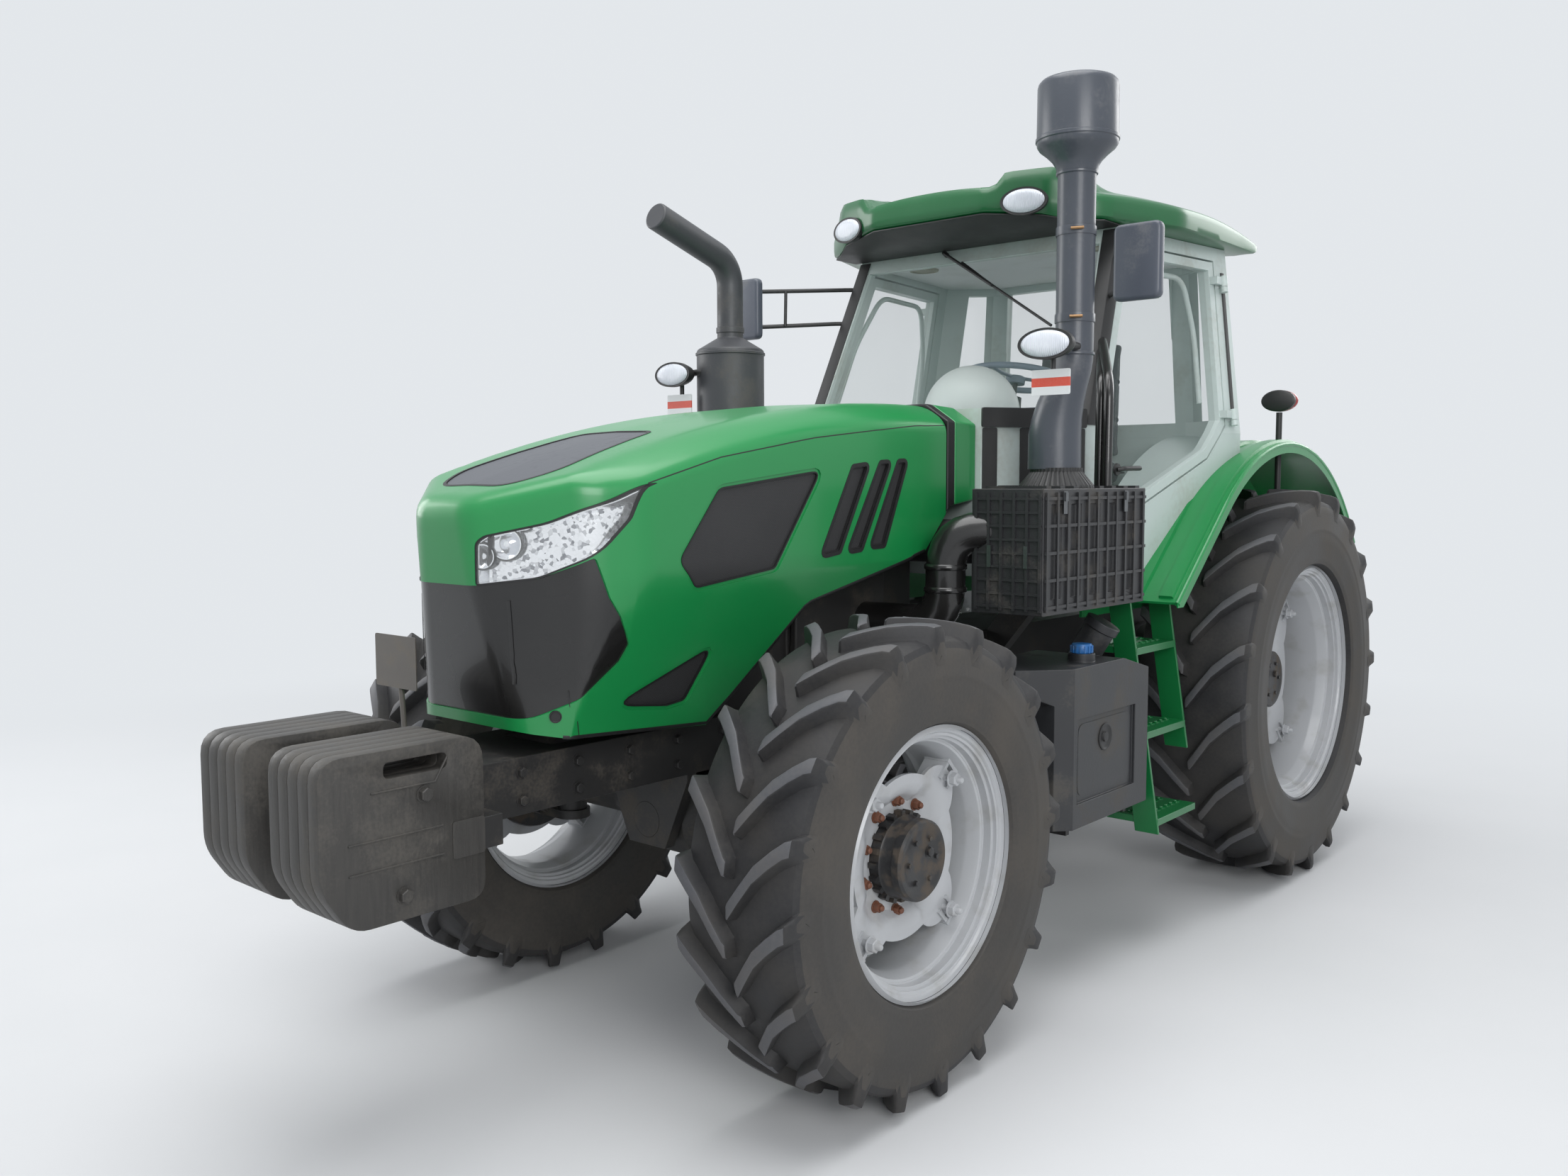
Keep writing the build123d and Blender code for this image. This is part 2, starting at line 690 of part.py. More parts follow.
# Headlamps wrap from beside the nose panel back along the shoulders.
headlamp_outline = [
    (113, 1440), (330, 1490), (402, 1575), (421, 1700), (360, 1655), (240, 1590), (120, 1560),
]


def headlamp_cutter(gap):
    face = Plane.XZ.offset(-hood_y(0.233)) * shrink(headlamp_outline, gap)
    right = extrude(face, hood_y(0.233) - nose_y + 60)
    return right + mirrored(right)


hood -= headlamp_cutter(0)
save("headlamps", hood_panel(headlamp_cutter, 4, 40))

# The dark insert on the hood's top, from the nose back.
insert_outline = both_halves([(150, hood_y(0.064)), (200, hood_y(0.12)), (150, hood_y(0.352))])


def insert_cutter(gap):
    return extrude(Pos(0, 0, 1600) * shrink(insert_outline, gap), 400)


top_recess = 5
insert_zone = bonnet(-1) - bonnet(top_recess)
hood -= insert_zone & insert_cutter(0)
insert = (bonnet(0) - bonnet(top_recess - seat_gap)) & insert_cutter(panel_gap)
save("hood_vents", *meshes, insert)
save("hood_shell", hood)

# ---------------------------------------------------------------- cab
waist_z = deck_z - 65
roof_z = 2660
cab_wall = 45
cab_front_y = cab_y + 1360
cab_top_front_y = cab_y + 1680
door_post_y = cab_y + 2420
cab_back_y = cab_y + 2640
nose_back_y = cowl_rear_y + seat_gap
lean = 0.726                # roof side's length over the waist side's length
waist = [(660, cab_front_y), (800, door_post_y), (500, cab_back_y)]
eaves = []
for x, y in waist:
    eaves.append((600 + (x - waist[0][0]) * lean, cab_top_front_y + (y - cab_front_y) * lean))
tub_front = [(440, nose_back_y), (660, cab_front_y)]

arch_radius = 1070
arch_y = rear_axle_y - 40
arch_z = 800
arch_from = 35              # degrees above the level, behind the axle
arch_to = 130               # where the straight front run starts
arch_run = 560
fender_inner = 500
fender_outer = 900
fender_sheet = 12


def arch_point(radius, angle, run=0):
    """A point on the arch line, or on the straight run that leaves it in front."""
    turn = radians(angle)
    y = arch_y + radius * cos(turn) - run * sin(turn)
    z = arch_z + radius * sin(turn) + run * cos(turn)
    return y, z


def arch_form(radius, x, rear_angle=0):
    """The space under the fender's line, between two x planes."""
    low = 700
    rear = arch_point(radius, rear_angle)
    rise = ThreePointArc(rear, arch_point(radius, (rear_angle + arch_to) / 2), arch_point(radius, arch_to))
    front = arch_point(radius, arch_to, arch_run)
    edge = Polyline(rise @ 1, front, (front[0], low), (rear[0], low), rise @ 0)
    face = Plane.YZ * make_face([rise, edge])
    return extrude(Pos(x[0], 0, 0) * face, x[1] - x[0])


def inset_outline(outline, amount):
    face = make_face(Polyline(*both_halves(outline), close=True))
    return offset(face, amount=-amount, kind=Kind.INTERSECTION) if amount else face


def tub_form(inset, low):
    """The cab below its waist, over the arches."""
    plan = tub_front + waist[1:]
    form = extrude(Pos(0, 0, low) * inset_outline(plan, inset), waist_z - low)
    arch = arch_form(arch_radius + seat_gap + inset, (fender_inner - 20 - inset, 1000))
    return form - arch - mirrored(arch)


def cabin_form(inset):
    """The glazed upper cab, leaning in to the roof."""
    low = Pos(0, 0, waist_z) * inset_outline(waist, inset)
    high = Pos(0, 0, roof_z) * inset_outline(eaves, inset)
    return loft([low, high], ruled=True)


cab_outer = tub_form(0, sill_z)
cab_inner = tub_form(cab_wall, sill_z + 30)
deck = plan_plate(both_halves(tub_front), (waist_z - cab_wall, waist_z + 60))
tub = cab_outer - cab_inner + deck
for side in (1, -1):
    pin_end = side * (hinge_x[0] - 3)
    lug_x = sorted((side * (hinge_x[1] + 1), side * (hinge_x[1] + 16)))
    lug_z = (hinge_z - hinge_eye, hinge_z + hinge_eye)
    tub += block(lug_x, (hinge_y - hinge_eye, nose_back_y + 5), lug_z)
    tub += rod((pin_end, hinge_y, hinge_z), (side * (hinge_x[1] + 8), hinge_y, hinge_z), hinge_pin)
cabin = cabin_form(0) - cabin_form(cab_wall)

# Openings: the doors, windscreen, rear window and the quarter lights.
post_run = (cab_top_front_y - cab_front_y) / (roof_z - waist_z)
door_front_y = cab_front_y + 68
door_top_z = roof_z - 55
door_low_z = 1495
door_outline = [
    (door_front_y, door_low_z), (door_front_y, waist_z + 20),
    (door_front_y + post_run * (door_top_z - waist_z - 20), door_top_z),
    (door_post_y - 70, door_top_z), (door_post_y - 110, waist_z + 30),
    (door_post_y - 250, 1790),
]
door_frame = 36             # width of the frame round the door's glass


def side_hole(outline, gap=0):
    face = Plane.YZ * shrink(outline, gap)
    return extrude(Pos(520, 0, 0) * face, 420)


screen_outline = both_halves([(600, waist_z + 75), (545, roof_z - 60)])
back_outline = both_halves([(440, waist_z + 60), (405, roof_z - 60)])
quarter_outline = [
    (door_post_y + 45, waist_z + 60), (cab_back_y - 50, waist_z + 60),
    (cab_back_y - 62, roof_z - 60), (door_post_y + 70, roof_z - 60),
]


def screen_hole(gap=0):
    face = Plane.XZ.offset(-(cab_top_front_y + 60)) * shrink(screen_outline, gap)
    return extrude(face, 480)


def back_hole(gap=0):
    face = Plane.XZ.offset(-(cab_back_y + 60)) * shrink(back_outline, gap)
    return extrude(face, 200)


def quarter_hole(gap=0):
    face = Plane.YZ * shrink(quarter_outline, gap)
    return extrude(Pos(420, 0, 0) * face, 400)


# A small window in the tub's front corner, above the air-filter box.
foot_outline = [(535, 1712), (630, 1712), (630, 1842), (535, 1842)]


def foot_hole(gap=0):
    face = Plane.XZ.offset(-(cab_front_y + 60)) * shrink(foot_outline, gap)
    return extrude(face, 300)


glass = 6
glass_depth = 18
pane = cabin_form(glass_depth) - cabin_form(glass_depth + glass)
windscreen = pane & screen_hole(seat_gap)
rear_window = pane & back_hole(seat_gap)
quarter = pane & quarter_hole(seat_gap)
low_pane = tub_form(glass_depth, sill_z) - tub_form(glass_depth + glass, sill_z)
foot_pane = low_pane & foot_hole(seat_gap)
wall = (tub_form(0, sill_z) - tub_form(cab_wall, sill_z)) + cabin
door = (wall & side_hole(door_outline, move_gap)) - side_hole(door_outline, move_gap + door_frame)
door_pane = (pane + low_pane) & side_hole(door_outline, move_gap + door_frame + seat_gap)
for hole in (screen_hole(), back_hole(), quarter_hole(), mirrored(quarter_hole())):
    cabin = cabin - hole
tub = tub - foot_hole() - mirrored(foot_hole())
for opening in (side_hole(door_outline), mirrored(side_hole(door_outline))):
    cabin = cabin - opening
    tub = tub - opening


def wall_x(y, z):
    """Outer face of the leaning cab side at a height above the waist."""
    share = (z - waist_z) / (roof_z - waist_z)
    slope = (waist[1][0] - waist[0][0]) / (door_post_y - cab_front_y)
    x = waist[0][0] + (eaves[0][0] - waist[0][0]) * share
    return x + slope * (y - cab_front_y - (cab_top_front_y - cab_front_y) * share)


# Door hinges stand outside the rear post, on one line that leans with it.
def door_hinge_point(z):
    y = door_post_y - 84 + 40 * (z - waist_z - 30) / (door_top_z - waist_z - 30)
    return Vector(wall_x(y, z) + 24, y, z)


door_pin = 8
door_barrel = 15
barrel_half = 22
hinge_low = door_hinge_point(waist_z + 75)
hinge_high = door_hinge_point(roof_z - 140)
hinge_line = (hinge_high - hinge_low).normalized()
for spot in (hinge_low, hinge_high):
    start, end = spot - hinge_line * barrel_half, spot + hinge_line * barrel_half
    reach_x, reach_z = (spot.X - 42, spot.X), (spot.Z - 15, spot.Z + 15)
    reach = block(reach_x, (spot.Y - 62, spot.Y - 4), reach_z) - cabin_form(-4)
    reach += block(reach_x, (spot.Y - 66, spot.Y - 44), reach_z) - cabin_form(2)
    hole = rod(start - hinge_line, end + hinge_line, door_pin + shaft_fit)
    door = door + reach + rod(start, end, door_barrel) - hole
    ledge_top = start - hinge_line
    ledge = rod(ledge_top - hinge_line * 22, ledge_top, door_barrel)
    ledge += block(
        (spot.X - 40, spot.X), (ledge_top.Y, ledge_top.Y + 34),
        (ledge_top.Z - 20, ledge_top.Z - 3),
    ) - cabin_form(cab_wall - 15)
    ledge += rod(ledge_top - hinge_line * 10, end, door_pin)
    cabin = cabin + ledge + mirrored(ledge)

save("cab_tub", tub)
save("cab_frame", cabin)
save("cab_glass", windscreen, rear_window, quarter, mirrored(quarter), foot_pane, mirrored(foot_pane))
save("door_left", door)
save("door_right", mirrored(door))
save("door_glass_left", door_pane)
save("door_glass_right", mirrored(door_pane))

# Roof over the cab, with a lower lip in front, and the headliner inside it.
roof_plan = both_halves([
    (260, cab_y + 1285), (470, cab_y + 1370), (640, cab_y + 1520), (765, cab_y + 1900),
    (765, cab_y + 2640), (690, cab_y + 2820), (300, cab_y + 2875),
])
roof_side = [
    (cab_y + 1285, 2700), (cab_y + 1285, 2800), (cab_y + 1400, 2812), (cab_y + 1560, 2862),
    (cab_y + 2000, 2895), (cab_y + 2500, 2885), (cab_y + 2875, 2800), (cab_y + 2875, 2750),
    (cab_y + 2620, roof_z + seat_gap), (cab_y + 1460, roof_z + seat_gap),
]
roof = side_plate(roof_side, (-800, 800)) & plan_plate(roof_plan, (2500, 3000))
crown = front_plate(
    both_halves([(800, 2500), (800, 2740), (560, 2850), (300, 2900)]), (cab_y + 1200, cab_y + 2900),
)
roof = roof & crown

# Two raised pods over the roof's front lamps.
pod_x = (285, 560)
pod = side_plate(
    [(cab_y + 1330, 2705), (cab_y + 1330, 2800), (cab_y + 1390, 2848), (cab_y + 1520, 2862),
     (cab_y + 1700, 2872), (cab_y + 1700, 2705)], pod_x,
)
pod = pod & plan_plate(roof_plan, (2500, 3000)) & front_plate(
    [(pod_x[0], 2700), (pod_x[0] + 45, 2880), (pod_x[1] - 70, 2880), (pod_x[1], 2780),
     (pod_x[1], 2700)], (cab_y + 1300, cab_y + 1720),
)
roof = roof + pod + mirrored(pod)
liner_face = inset_outline(eaves, cab_wall)
liner_top_z = roof_z + 45
roof -= extrude(Pos(0, 0, roof_z - 5) * liner_face, liner_top_z - roof_z + 5)
lamp_y = (cab_y + 1366, cab_y + 1450)
lamp_ellipse = (84, 50)
roof_lamp_x = 414
roof_lamp_z = 2722


def roof_lamp(grow):
    face = Plane.XZ.offset(-lamp_y[1] - grow) * Pos(roof_lamp_x, roof_lamp_z)
    face = face * Ellipse(lamp_ellipse[0] + grow, lamp_ellipse[1] + grow)
    return extrude(face, lamp_y[1] - lamp_y[0] + 2 * grow)


roof_lamp_left = roof_lamp(0)
roof = roof - roof_lamp(seat_gap) - mirrored(roof_lamp(seat_gap))
save("cab_roof", roof)
liner_low_z = roof_z - 30
liner_face = inset_outline(eaves, cab_wall + seat_gap + 4)
liner = extrude(Pos(0, 0, liner_low_z) * liner_face, liner_top_z - liner_low_z - seat_gap)
save("headliner", liner)

# ---------------------------------------------------------------- fenders
def arch_edges(radius):
    rise = ThreePointArc(
        arch_point(radius, arch_from), arch_point(radius, (arch_from + arch_to) / 2),
        arch_point(radius, arch_to),
    )
    return rise, Line(rise @ 1, arch_point(radius, arch_to, arch_run))


upper_arc, upper_run = arch_edges(arch_radius)
lower_arc, lower_run = arch_edges(arch_radius - fender_sheet)
fender_face = make_face([
    upper_arc, upper_run, Line(upper_run @ 1, lower_run @ 1), lower_run, lower_arc,
    Line(lower_arc @ 0, upper_arc @ 0),
])
fender = extrude(Pos(fender_inner, 0, 0) * (Plane.YZ * fender_face), fender_outer - fender_inner)
wall_low = 1180
fender_wall = arch_form(arch_radius - 2, (fender_inner, fender_inner + fender_sheet), arch_from)
fender += fender_wall & block((0, 1000), (cab_y, rear_axle_y + 1200), (wall_low, 2200))
fender_lip = arch_form(arch_radius - 1, (fender_outer - 5, fender_outer), arch_from)
fender_lip -= arch_form(arch_radius - 46, (fender_outer - 6, fender_outer + 1))
fender += fender_lip & block((0, 1000), (cab_y, rear_axle_y + 1200), (wall_low + 60, 2200))
save("fenders", fender, mirrored(fender))

# ---------------------------------------------------------------- tanks and steps
tank_high = 1100
tank = side_plate(
    [(tank_front_y, tank_low), (tank_rear_y, tank_low), (tank_rear_y, tank_high - 50),
     (tank_rear_y - 190, tank_high), (tank_front_y - 100, tank_high),
     (tank_front_y - 100, tank_high - 70), (tank_front_y, tank_high - 120)], tank_x,
)
tank = tank & plan_plate(
    [(tank_x[0], tank_rear_y), (tank_x[0], tank_front_y - 100),
     (tank_x[1] - 130, tank_front_y - 100), (tank_x[1], tank_front_y + 50),
     (tank_x[1], tank_rear_y)], (tank_low, tank_high),
)
tank -= block((tank_x[1] - 12, tank_x[1] + 1), (tank_front_y + 80, tank_rear_y - 100), (650, 930))
filler_low = Vector(730, tank_rear_y - 180, tank_high - 20)
filler_high = Vector(790, tank_rear_y - 160, tank_high + 90)
cap_top = filler_high + (filler_high - filler_low).normalized() * 30
filled = tank + rod(filler_low, filler_high, 55) + rod(filler_high, cap_top, 62)
port = (820, tank_rear_y - 345)
filled += rod((*port, tank_high - 10), (*port, tank_high + 28), 45)
save("fuel_tanks", filled, mirrored(tank))

# Access steps: leaning side plates under the cab's sill and the fender.
step_y = (cab_y + 1430, cab_y + 1762)
step_plate = 12
step_foot = (930, 440)      # outer foot of a side plate
step_lean = (800, 1300)     # its outer edge below the sill
step_outline = [
    (step_foot[0] - 90, step_foot[1]), step_foot, step_lean, (700, 1400), (600, 1400),
    (600, 1335), (700, 1320), (step_lean[0] - 80, step_lean[1] - 30),
]
under_cab = block((0, 1000), (step_y[0] - 1, step_y[0] + 40), (400, sill_z - seat_gap))
under_fender = arch_form(arch_radius - fender_sheet - seat_gap, (0, 1000))
steps = front_plate(step_outline, (step_y[0], step_y[0] + step_plate)) & under_cab
steps += front_plate(step_outline, (step_y[1] - step_plate, step_y[1])) & under_fender
for low in (470, 780, 1080):
    share = (low - step_foot[1]) / (step_lean[1] - step_foot[1])
    outer = step_foot[0] + (step_lean[0] - step_foot[0]) * share
    steps += block((outer - 200, outer), (step_y[0] + 5, step_y[1] - 5), (low, low + 25))
save("steps", steps, mirrored(steps))

# ---------------------------------------------------------------- air and exhaust
duct_y = cab_y + 860
duct_z = 1500
filter_z = (1280, 1680)
filter_box = plan_plate(
    [(608, cab_y + 690), (870, cab_y + 690), (870, cab_y + 1400), (640, cab_y + 1400), (530, cab_y + 1130),
     (608, cab_y + 1040)], filter_z,
)
filter_box -= tub_form(-seat_gap, sill_z - seat_gap)
for index in range(5):
    rib_y = cab_y + 740 + 128 * index
    filter_box -= block((864, 871), (rib_y, rib_y + 70), (filter_z[0] + 50, filter_z[1] - 50))
filter_box += rod((engine_neck + seat_gap, duct_y, duct_z), (612, duct_y, duct_z), 75)
save("air_filter_box", filter_box)

stack_y = cab_y + 1000
stack_x = 800
stack_radius = 62
stack_base = loft([
    Pos(750, stack_y, filter_z[1] + seat_gap) * Rectangle(180, 200),
    Pos(738, stack_y, 1770) * Rectangle(150, 150),
], ruled=True)
stack = stack_base + rod((735, stack_y, 1765), (735, stack_y, 1860), 74)
stack += pipe([(735, stack_y, 1850), (735, stack_y, 1910), (stack_x, stack_y, 2100),
               (stack_x, stack_y, 2700)], stack_radius, 90)
stack += turned(
    [(0, 2690), (stack_radius, 2690), (143, 2785), (143, 2965), (105, 3000), (0, 3000)],
    (stack_x, stack_y, 0),
)
save("intake_stack", stack)

exhaust_y = cab_y + 935
exhaust_x = -695
muffler_radius = 135
exhaust = turned(
    [(0, 1605), (60, 1605), (muffler_radius, 1650), (muffler_radius, 2230), (60, 2275), (0, 2275)],
    (exhaust_x, exhaust_y, 0),
)
exhaust += pipe([(-engine_neck - seat_gap, exhaust_y, 1450), (exhaust_x, exhaust_y, 1450),
                 (exhaust_x, exhaust_y, 1620)], 50, 110)
exhaust += pipe([(exhaust_x, exhaust_y, 2260), (exhaust_x, exhaust_y, 2570),
                 (exhaust_x, exhaust_y - 405, 2700)], 52, 120)
exhaust += block((-700, -470), (exhaust_y, cab_y + 1120), (1700, 1740)) - tub_form(-seat_gap, sill_z)
save("exhaust", exhaust)

# ---------------------------------------------------------------- lamps and mirrors
lamp_x = 835
lamp_z = 2141
lamp_face_y = cab_y + 744
lamp_back_y = cab_y + 812


def front_lamp(side):
    """A round work lamp with the blank marker plate under it."""
    x = side * lamp_x
    lamp = rod((x, lamp_face_y, lamp_z), (x, lamp_back_y, lamp_z), 62)
    lamp += block((x - 68, x + 68), (cab_y + 792, cab_y + 800), (1960, 2082))
    return lamp + block((x - 6, x + 6), (cab_y + 792, lamp_back_y + 2), (1970, lamp_z + 20))


arm_z = (2120, lamp_z + 20)
left_arm = block((lamp_x - 6, lamp_x + 6), (lamp_back_y, stack_y), arm_z)
left_arm -= rod((stack_x, stack_y, 2000), (stack_x, stack_y, 2300), stack_radius + seat_gap)
right_arm = block((-lamp_x - 6, -lamp_x + 40), (lamp_back_y - 4, exhaust_y), arm_z)
right_arm -= rod((exhaust_x, exhaust_y, 2000), (exhaust_x, exhaust_y, 2300), muffler_radius + seat_gap)
tail_y = cab_y + 2853
tail_z = 2054
tail_lamp = rod((800, tail_y - 30, tail_z), (800, tail_y + 30, tail_z), 58)
stalk = rod((800, tail_y, arch_z), (800, tail_y, tail_z), 14)
tail_lamp += stalk - arch_form(arch_radius + seat_gap, (500, 1000))
lamps = [roof_lamp_left, mirrored(roof_lamp_left), tail_lamp, mirrored(tail_lamp)]
lamps += [front_lamp(1) + left_arm, front_lamp(-1) + right_arm]
save("work_lamps", *lamps)

mirror_head = block((812, 988), (cab_y + 1225, cab_y + 1275), (2310, 2570))
mirror_head += rod((900, cab_y + 1262, 2530), (600, cab_y + 1640, 2480), 11) - cabin_form(-seat_gap)
save("mirrors", mirror_head, mirrored(mirror_head))

# ---------------------------------------------------------------- driver's place
floor_z = sill_z + 30 + seat_gap
console = side_plate(
    [(cab_y + 1600, floor_z), (cab_y + 1880, floor_z), (cab_y + 1880, waist_z + 60),
     (cab_y + 1600, waist_z + 60)], (-110, 110),
)
dome = side_plate(
    [(cab_y + 1500, waist_z + 55), (cab_y + 1930, waist_z + 55), (cab_y + 1930, waist_z + 140),
     (cab_y + 1840, waist_z + 230), (cab_y + 1720, waist_z + 275), (cab_y + 1620, waist_z + 275),
     (cab_y + 1540, waist_z + 210)], (-270, 270),
)
dome = dome & front_plate(
    both_halves([(270, waist_z + 50), (270, waist_z + 160), (190, waist_z + 250), (110, waist_z + 280)]),
    (cab_y + 1490, cab_y + 1940),
)
wheel_centre = Vector(0, cab_y + 1970, waist_z + 245)
wheel_tilt = radians(11.6)
wheel_axis = Vector(0, sin(wheel_tilt), cos(wheel_tilt))
column_radius = 11
column = rod(wheel_centre - wheel_axis * 230, wheel_centre - wheel_axis * 70, 40)
column += rod(wheel_centre - wheel_axis * 80, wheel_centre - wheel_axis * 10.3, column_radius)
column += block((-40, 40), (cab_y + 1870, cab_y + 1950), (waist_z + 25, waist_z + 75))
save("dashboard", console + dome + column)

rim_mid = 205
rim_tube = 14
tube_section = []
for turn in range(0, 360, 60):
    tube_section.append((rim_tube * cos(radians(turn)), rim_mid + rim_tube * sin(radians(turn))))
wheel_ring = facet_ring(tube_section, hub_sides, 0)
spokes = rod((-26, 0, 0), (8, 0, 0), 42)
for turn in (90, 210, 330):
    spokes += Rot(turn, 0, 0) * block((-6, 6), (-16, 16), (0, rim_mid))
hand_wheel = wheel_ring + spokes
hand_wheel = Rot(0, -90, 0) * hand_wheel
hand_wheel = Pos(*wheel_centre) * Rot(-degrees(wheel_tilt), 0, 0) * hand_wheel
hand_wheel -= rod(
    wheel_centre - wheel_axis * 40, wheel_centre - wheel_axis * 10, column_radius + shaft_fit,
)
save("steering_wheel", hand_wheel)

seat_base = block((-170, 170), (cab_y + 2230, cab_y + 2500), (floor_z, 1640))
seat_base += block((-230, 230), (cab_y + 2180, cab_y + 2520), (1640, 1690))
save("seat_base", seat_base)
cushion_top = 1800
cushion = block((-240, 240), (cab_y + 2150, cab_y + 2560), (1690 + seat_gap, cushion_top))
backrest = side_plate(
    [(cab_y + 2460, cushion_top + seat_gap), (cab_y + 2560, cushion_top + seat_gap),
     (cab_y + 2578, 2340), (cab_y + 2510, 2340)], (-220, 220),
)
save("seat_cushions", cushion, backrest)

# ---------------------------------------------------------------- hitch
arm_tip = Vector(0, rock_y + 380, rock_z - 30)
link_pin_y = rear_axle_y + 110
link_pin_z = 600
link_pin = 18
rod_foot = Vector(0, link_pin_y + 380, link_pin_z - 30)
hitch_x = (309, 339)        # the lift arms' plates
rod_x = (345, 380)          # the lift rods' eyes
hitch_pin = 12
arm_plate = side_plate(
    [(rock_y - 50, rock_z + 20), (rock_y - 20, rock_z + 62), (rock_y + 60, rock_z + 60),
     (arm_tip.Y, arm_tip.Z + 34), (arm_tip.Y + 32, arm_tip.Z), (arm_tip.Y, arm_tip.Z - 34),
     (rock_y, rock_z - 62), (rock_y - 50, rock_z - 20)], hitch_x,
)
arm_plate += rod((hitch_x[0], arm_tip.Y, arm_tip.Z), (rod_x[1] + 6, arm_tip.Y, arm_tip.Z), hitch_pin)
lift_arms = rod((-hitch_x[1], rock_y, rock_z), (hitch_x[1], rock_y, rock_z), rock_radius)
lift_arms = lift_arms + arm_plate + mirrored(arm_plate)
save("lift_arms", lift_arms)

lift_rod = rod((362, arm_tip.Y, arm_tip.Z), (362, rod_foot.Y, rod_foot.Z), 16)
for end in (arm_tip, rod_foot):
    lift_rod += rod((rod_x[0], end.Y, end.Z), (rod_x[1], end.Y, end.Z), 27)
for end in (arm_tip, rod_foot):
    lift_rod -= rod((rod_x[0] - 1, end.Y, end.Z), (rod_x[1] + 1, end.Y, end.Z), hitch_pin + shaft_fit)
save("lift_rods", lift_rod, mirrored(lift_rod))

# Lower links: bars from pins under the axle to the ball eyes.
eye_radius = 45
eye_bore = 14.35
eye_y = rear_axle_y + rear_reach - eye_radius
eye_spot = Vector(412, eye_y, link_pin_z - 30 * (eye_y - link_pin_y) / 380)
heel_spot = Vector(260, link_pin_y, link_pin_z)
link_half = 12              # half the bar's width, seen from above
link_deep = 35              # half its depth, seen from the side
plan = [
    (heel_spot.X - link_half, link_pin_y - 40), (heel_spot.X + link_half, link_pin_y - 40),
    (heel_spot.X + link_half, link_pin_y + 60), (eye_spot.X + link_half, eye_y - 60),
    (eye_spot.X + link_half, eye_y + 44), (eye_spot.X - link_half, eye_y + 44),
    (eye_spot.X - link_half, eye_y - 60), (heel_spot.X - link_half, link_pin_y + 60),
]
side = [
    (link_pin_y - 38, link_pin_z + link_deep), (link_pin_y - 38, link_pin_z - link_deep),
    (eye_y + 20, eye_spot.Z - link_deep), (eye_y + 20, eye_spot.Z + link_deep),
]
link = side_plate(side, (200, 500)) & plan_plate(plan, (400, 700))
link += rod((eye_spot.X - 22, eye_y, eye_spot.Z), (eye_spot.X + 22, eye_y, eye_spot.Z), eye_radius)
link -= rod((eye_spot.X - 23, eye_y, eye_spot.Z), (eye_spot.X + 23, eye_y, eye_spot.Z), eye_bore)
link += rod((310, rod_foot.Y, rod_foot.Z), (rod_x[1] + 6, rod_foot.Y, rod_foot.Z), hitch_pin)
link -= rod((200, link_pin_y, link_pin_z), (300, link_pin_y, link_pin_z), link_pin + shaft_fit)
save("lower_links", link, mirrored(link))

# Top link: a turnbuckle from the ears on the gearbox.
top_eye = 36
top_eye_half = 26
top_bore = 12.85
top_start = Vector(0, top_pin_y, top_pin_z)
top_end = Vector(0, top_pin_y + 560, top_pin_z - 120)
along = (top_end - top_start).normalized()
top_link = rod(top_start, top_end, 17) + rod(top_start + along * 120, top_start + along * 440, 25)
for end in (top_start, top_end):
    top_link += rod((-top_eye_half, end.Y, end.Z), (top_eye_half, end.Y, end.Z), top_eye)
for end, bore in ((top_start, top_pin + shaft_fit), (top_end, top_bore)):
    top_link -= rod((-top_eye_half - 1, end.Y, end.Z), (top_eye_half + 1, end.Y, end.Z), bore)
save("top_link", top_link)

# Drawbar on its hanger under the gearbox, which also holds the lower links' pins.
drawbar = block((-120, 120), (rear_axle_y - 60, rear_axle_y + 285), (480, housing_low - seat_gap))
drawbar += block((-40, 40), (rear_axle_y - 60, rear_axle_y + 560), (430, 480))
hanger_top = housing_low - seat_gap
drawbar += block((-230, 230), (link_pin_y - 45, link_pin_y + 45), (link_pin_z - 45, hanger_top))
drawbar += rod((-285, link_pin_y, link_pin_z), (285, link_pin_y, link_pin_z), link_pin)
drawbar -= block(
    (-housing_half - 1, housing_half + 1), (rear_axle_y - 200, housing_end_y), (hanger_top, 900),
)
drawbar -= rod((0, rear_axle_y + 510, 400), (0, rear_axle_y + 510, 500), 16.5)
save("drawbar", drawbar)
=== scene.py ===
import math

import bmesh
import bpy
from mathutils import Matrix, Vector
from mathutils.bvhtree import BVHTree
from mathutils.interpolate import poly_3d_calc


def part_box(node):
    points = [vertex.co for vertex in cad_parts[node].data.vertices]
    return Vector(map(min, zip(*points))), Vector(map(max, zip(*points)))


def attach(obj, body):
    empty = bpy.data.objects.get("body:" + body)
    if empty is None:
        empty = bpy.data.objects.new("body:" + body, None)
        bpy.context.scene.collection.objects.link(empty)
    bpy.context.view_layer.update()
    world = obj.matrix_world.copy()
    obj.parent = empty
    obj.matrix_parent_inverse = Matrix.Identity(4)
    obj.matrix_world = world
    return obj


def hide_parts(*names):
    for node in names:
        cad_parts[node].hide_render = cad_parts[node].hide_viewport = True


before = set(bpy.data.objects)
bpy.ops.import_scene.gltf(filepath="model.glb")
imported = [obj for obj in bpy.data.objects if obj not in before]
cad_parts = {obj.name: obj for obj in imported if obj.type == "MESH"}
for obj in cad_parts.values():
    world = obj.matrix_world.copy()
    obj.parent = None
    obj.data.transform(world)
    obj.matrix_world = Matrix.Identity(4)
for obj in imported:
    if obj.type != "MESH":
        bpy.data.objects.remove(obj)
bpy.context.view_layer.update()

# ---------------------------------------------------------------- studio
# The tractor stands on a plain pale floor that runs out into a pale sky, under a large
# overhead light with one light on each side and one behind, as on a sales sheet.


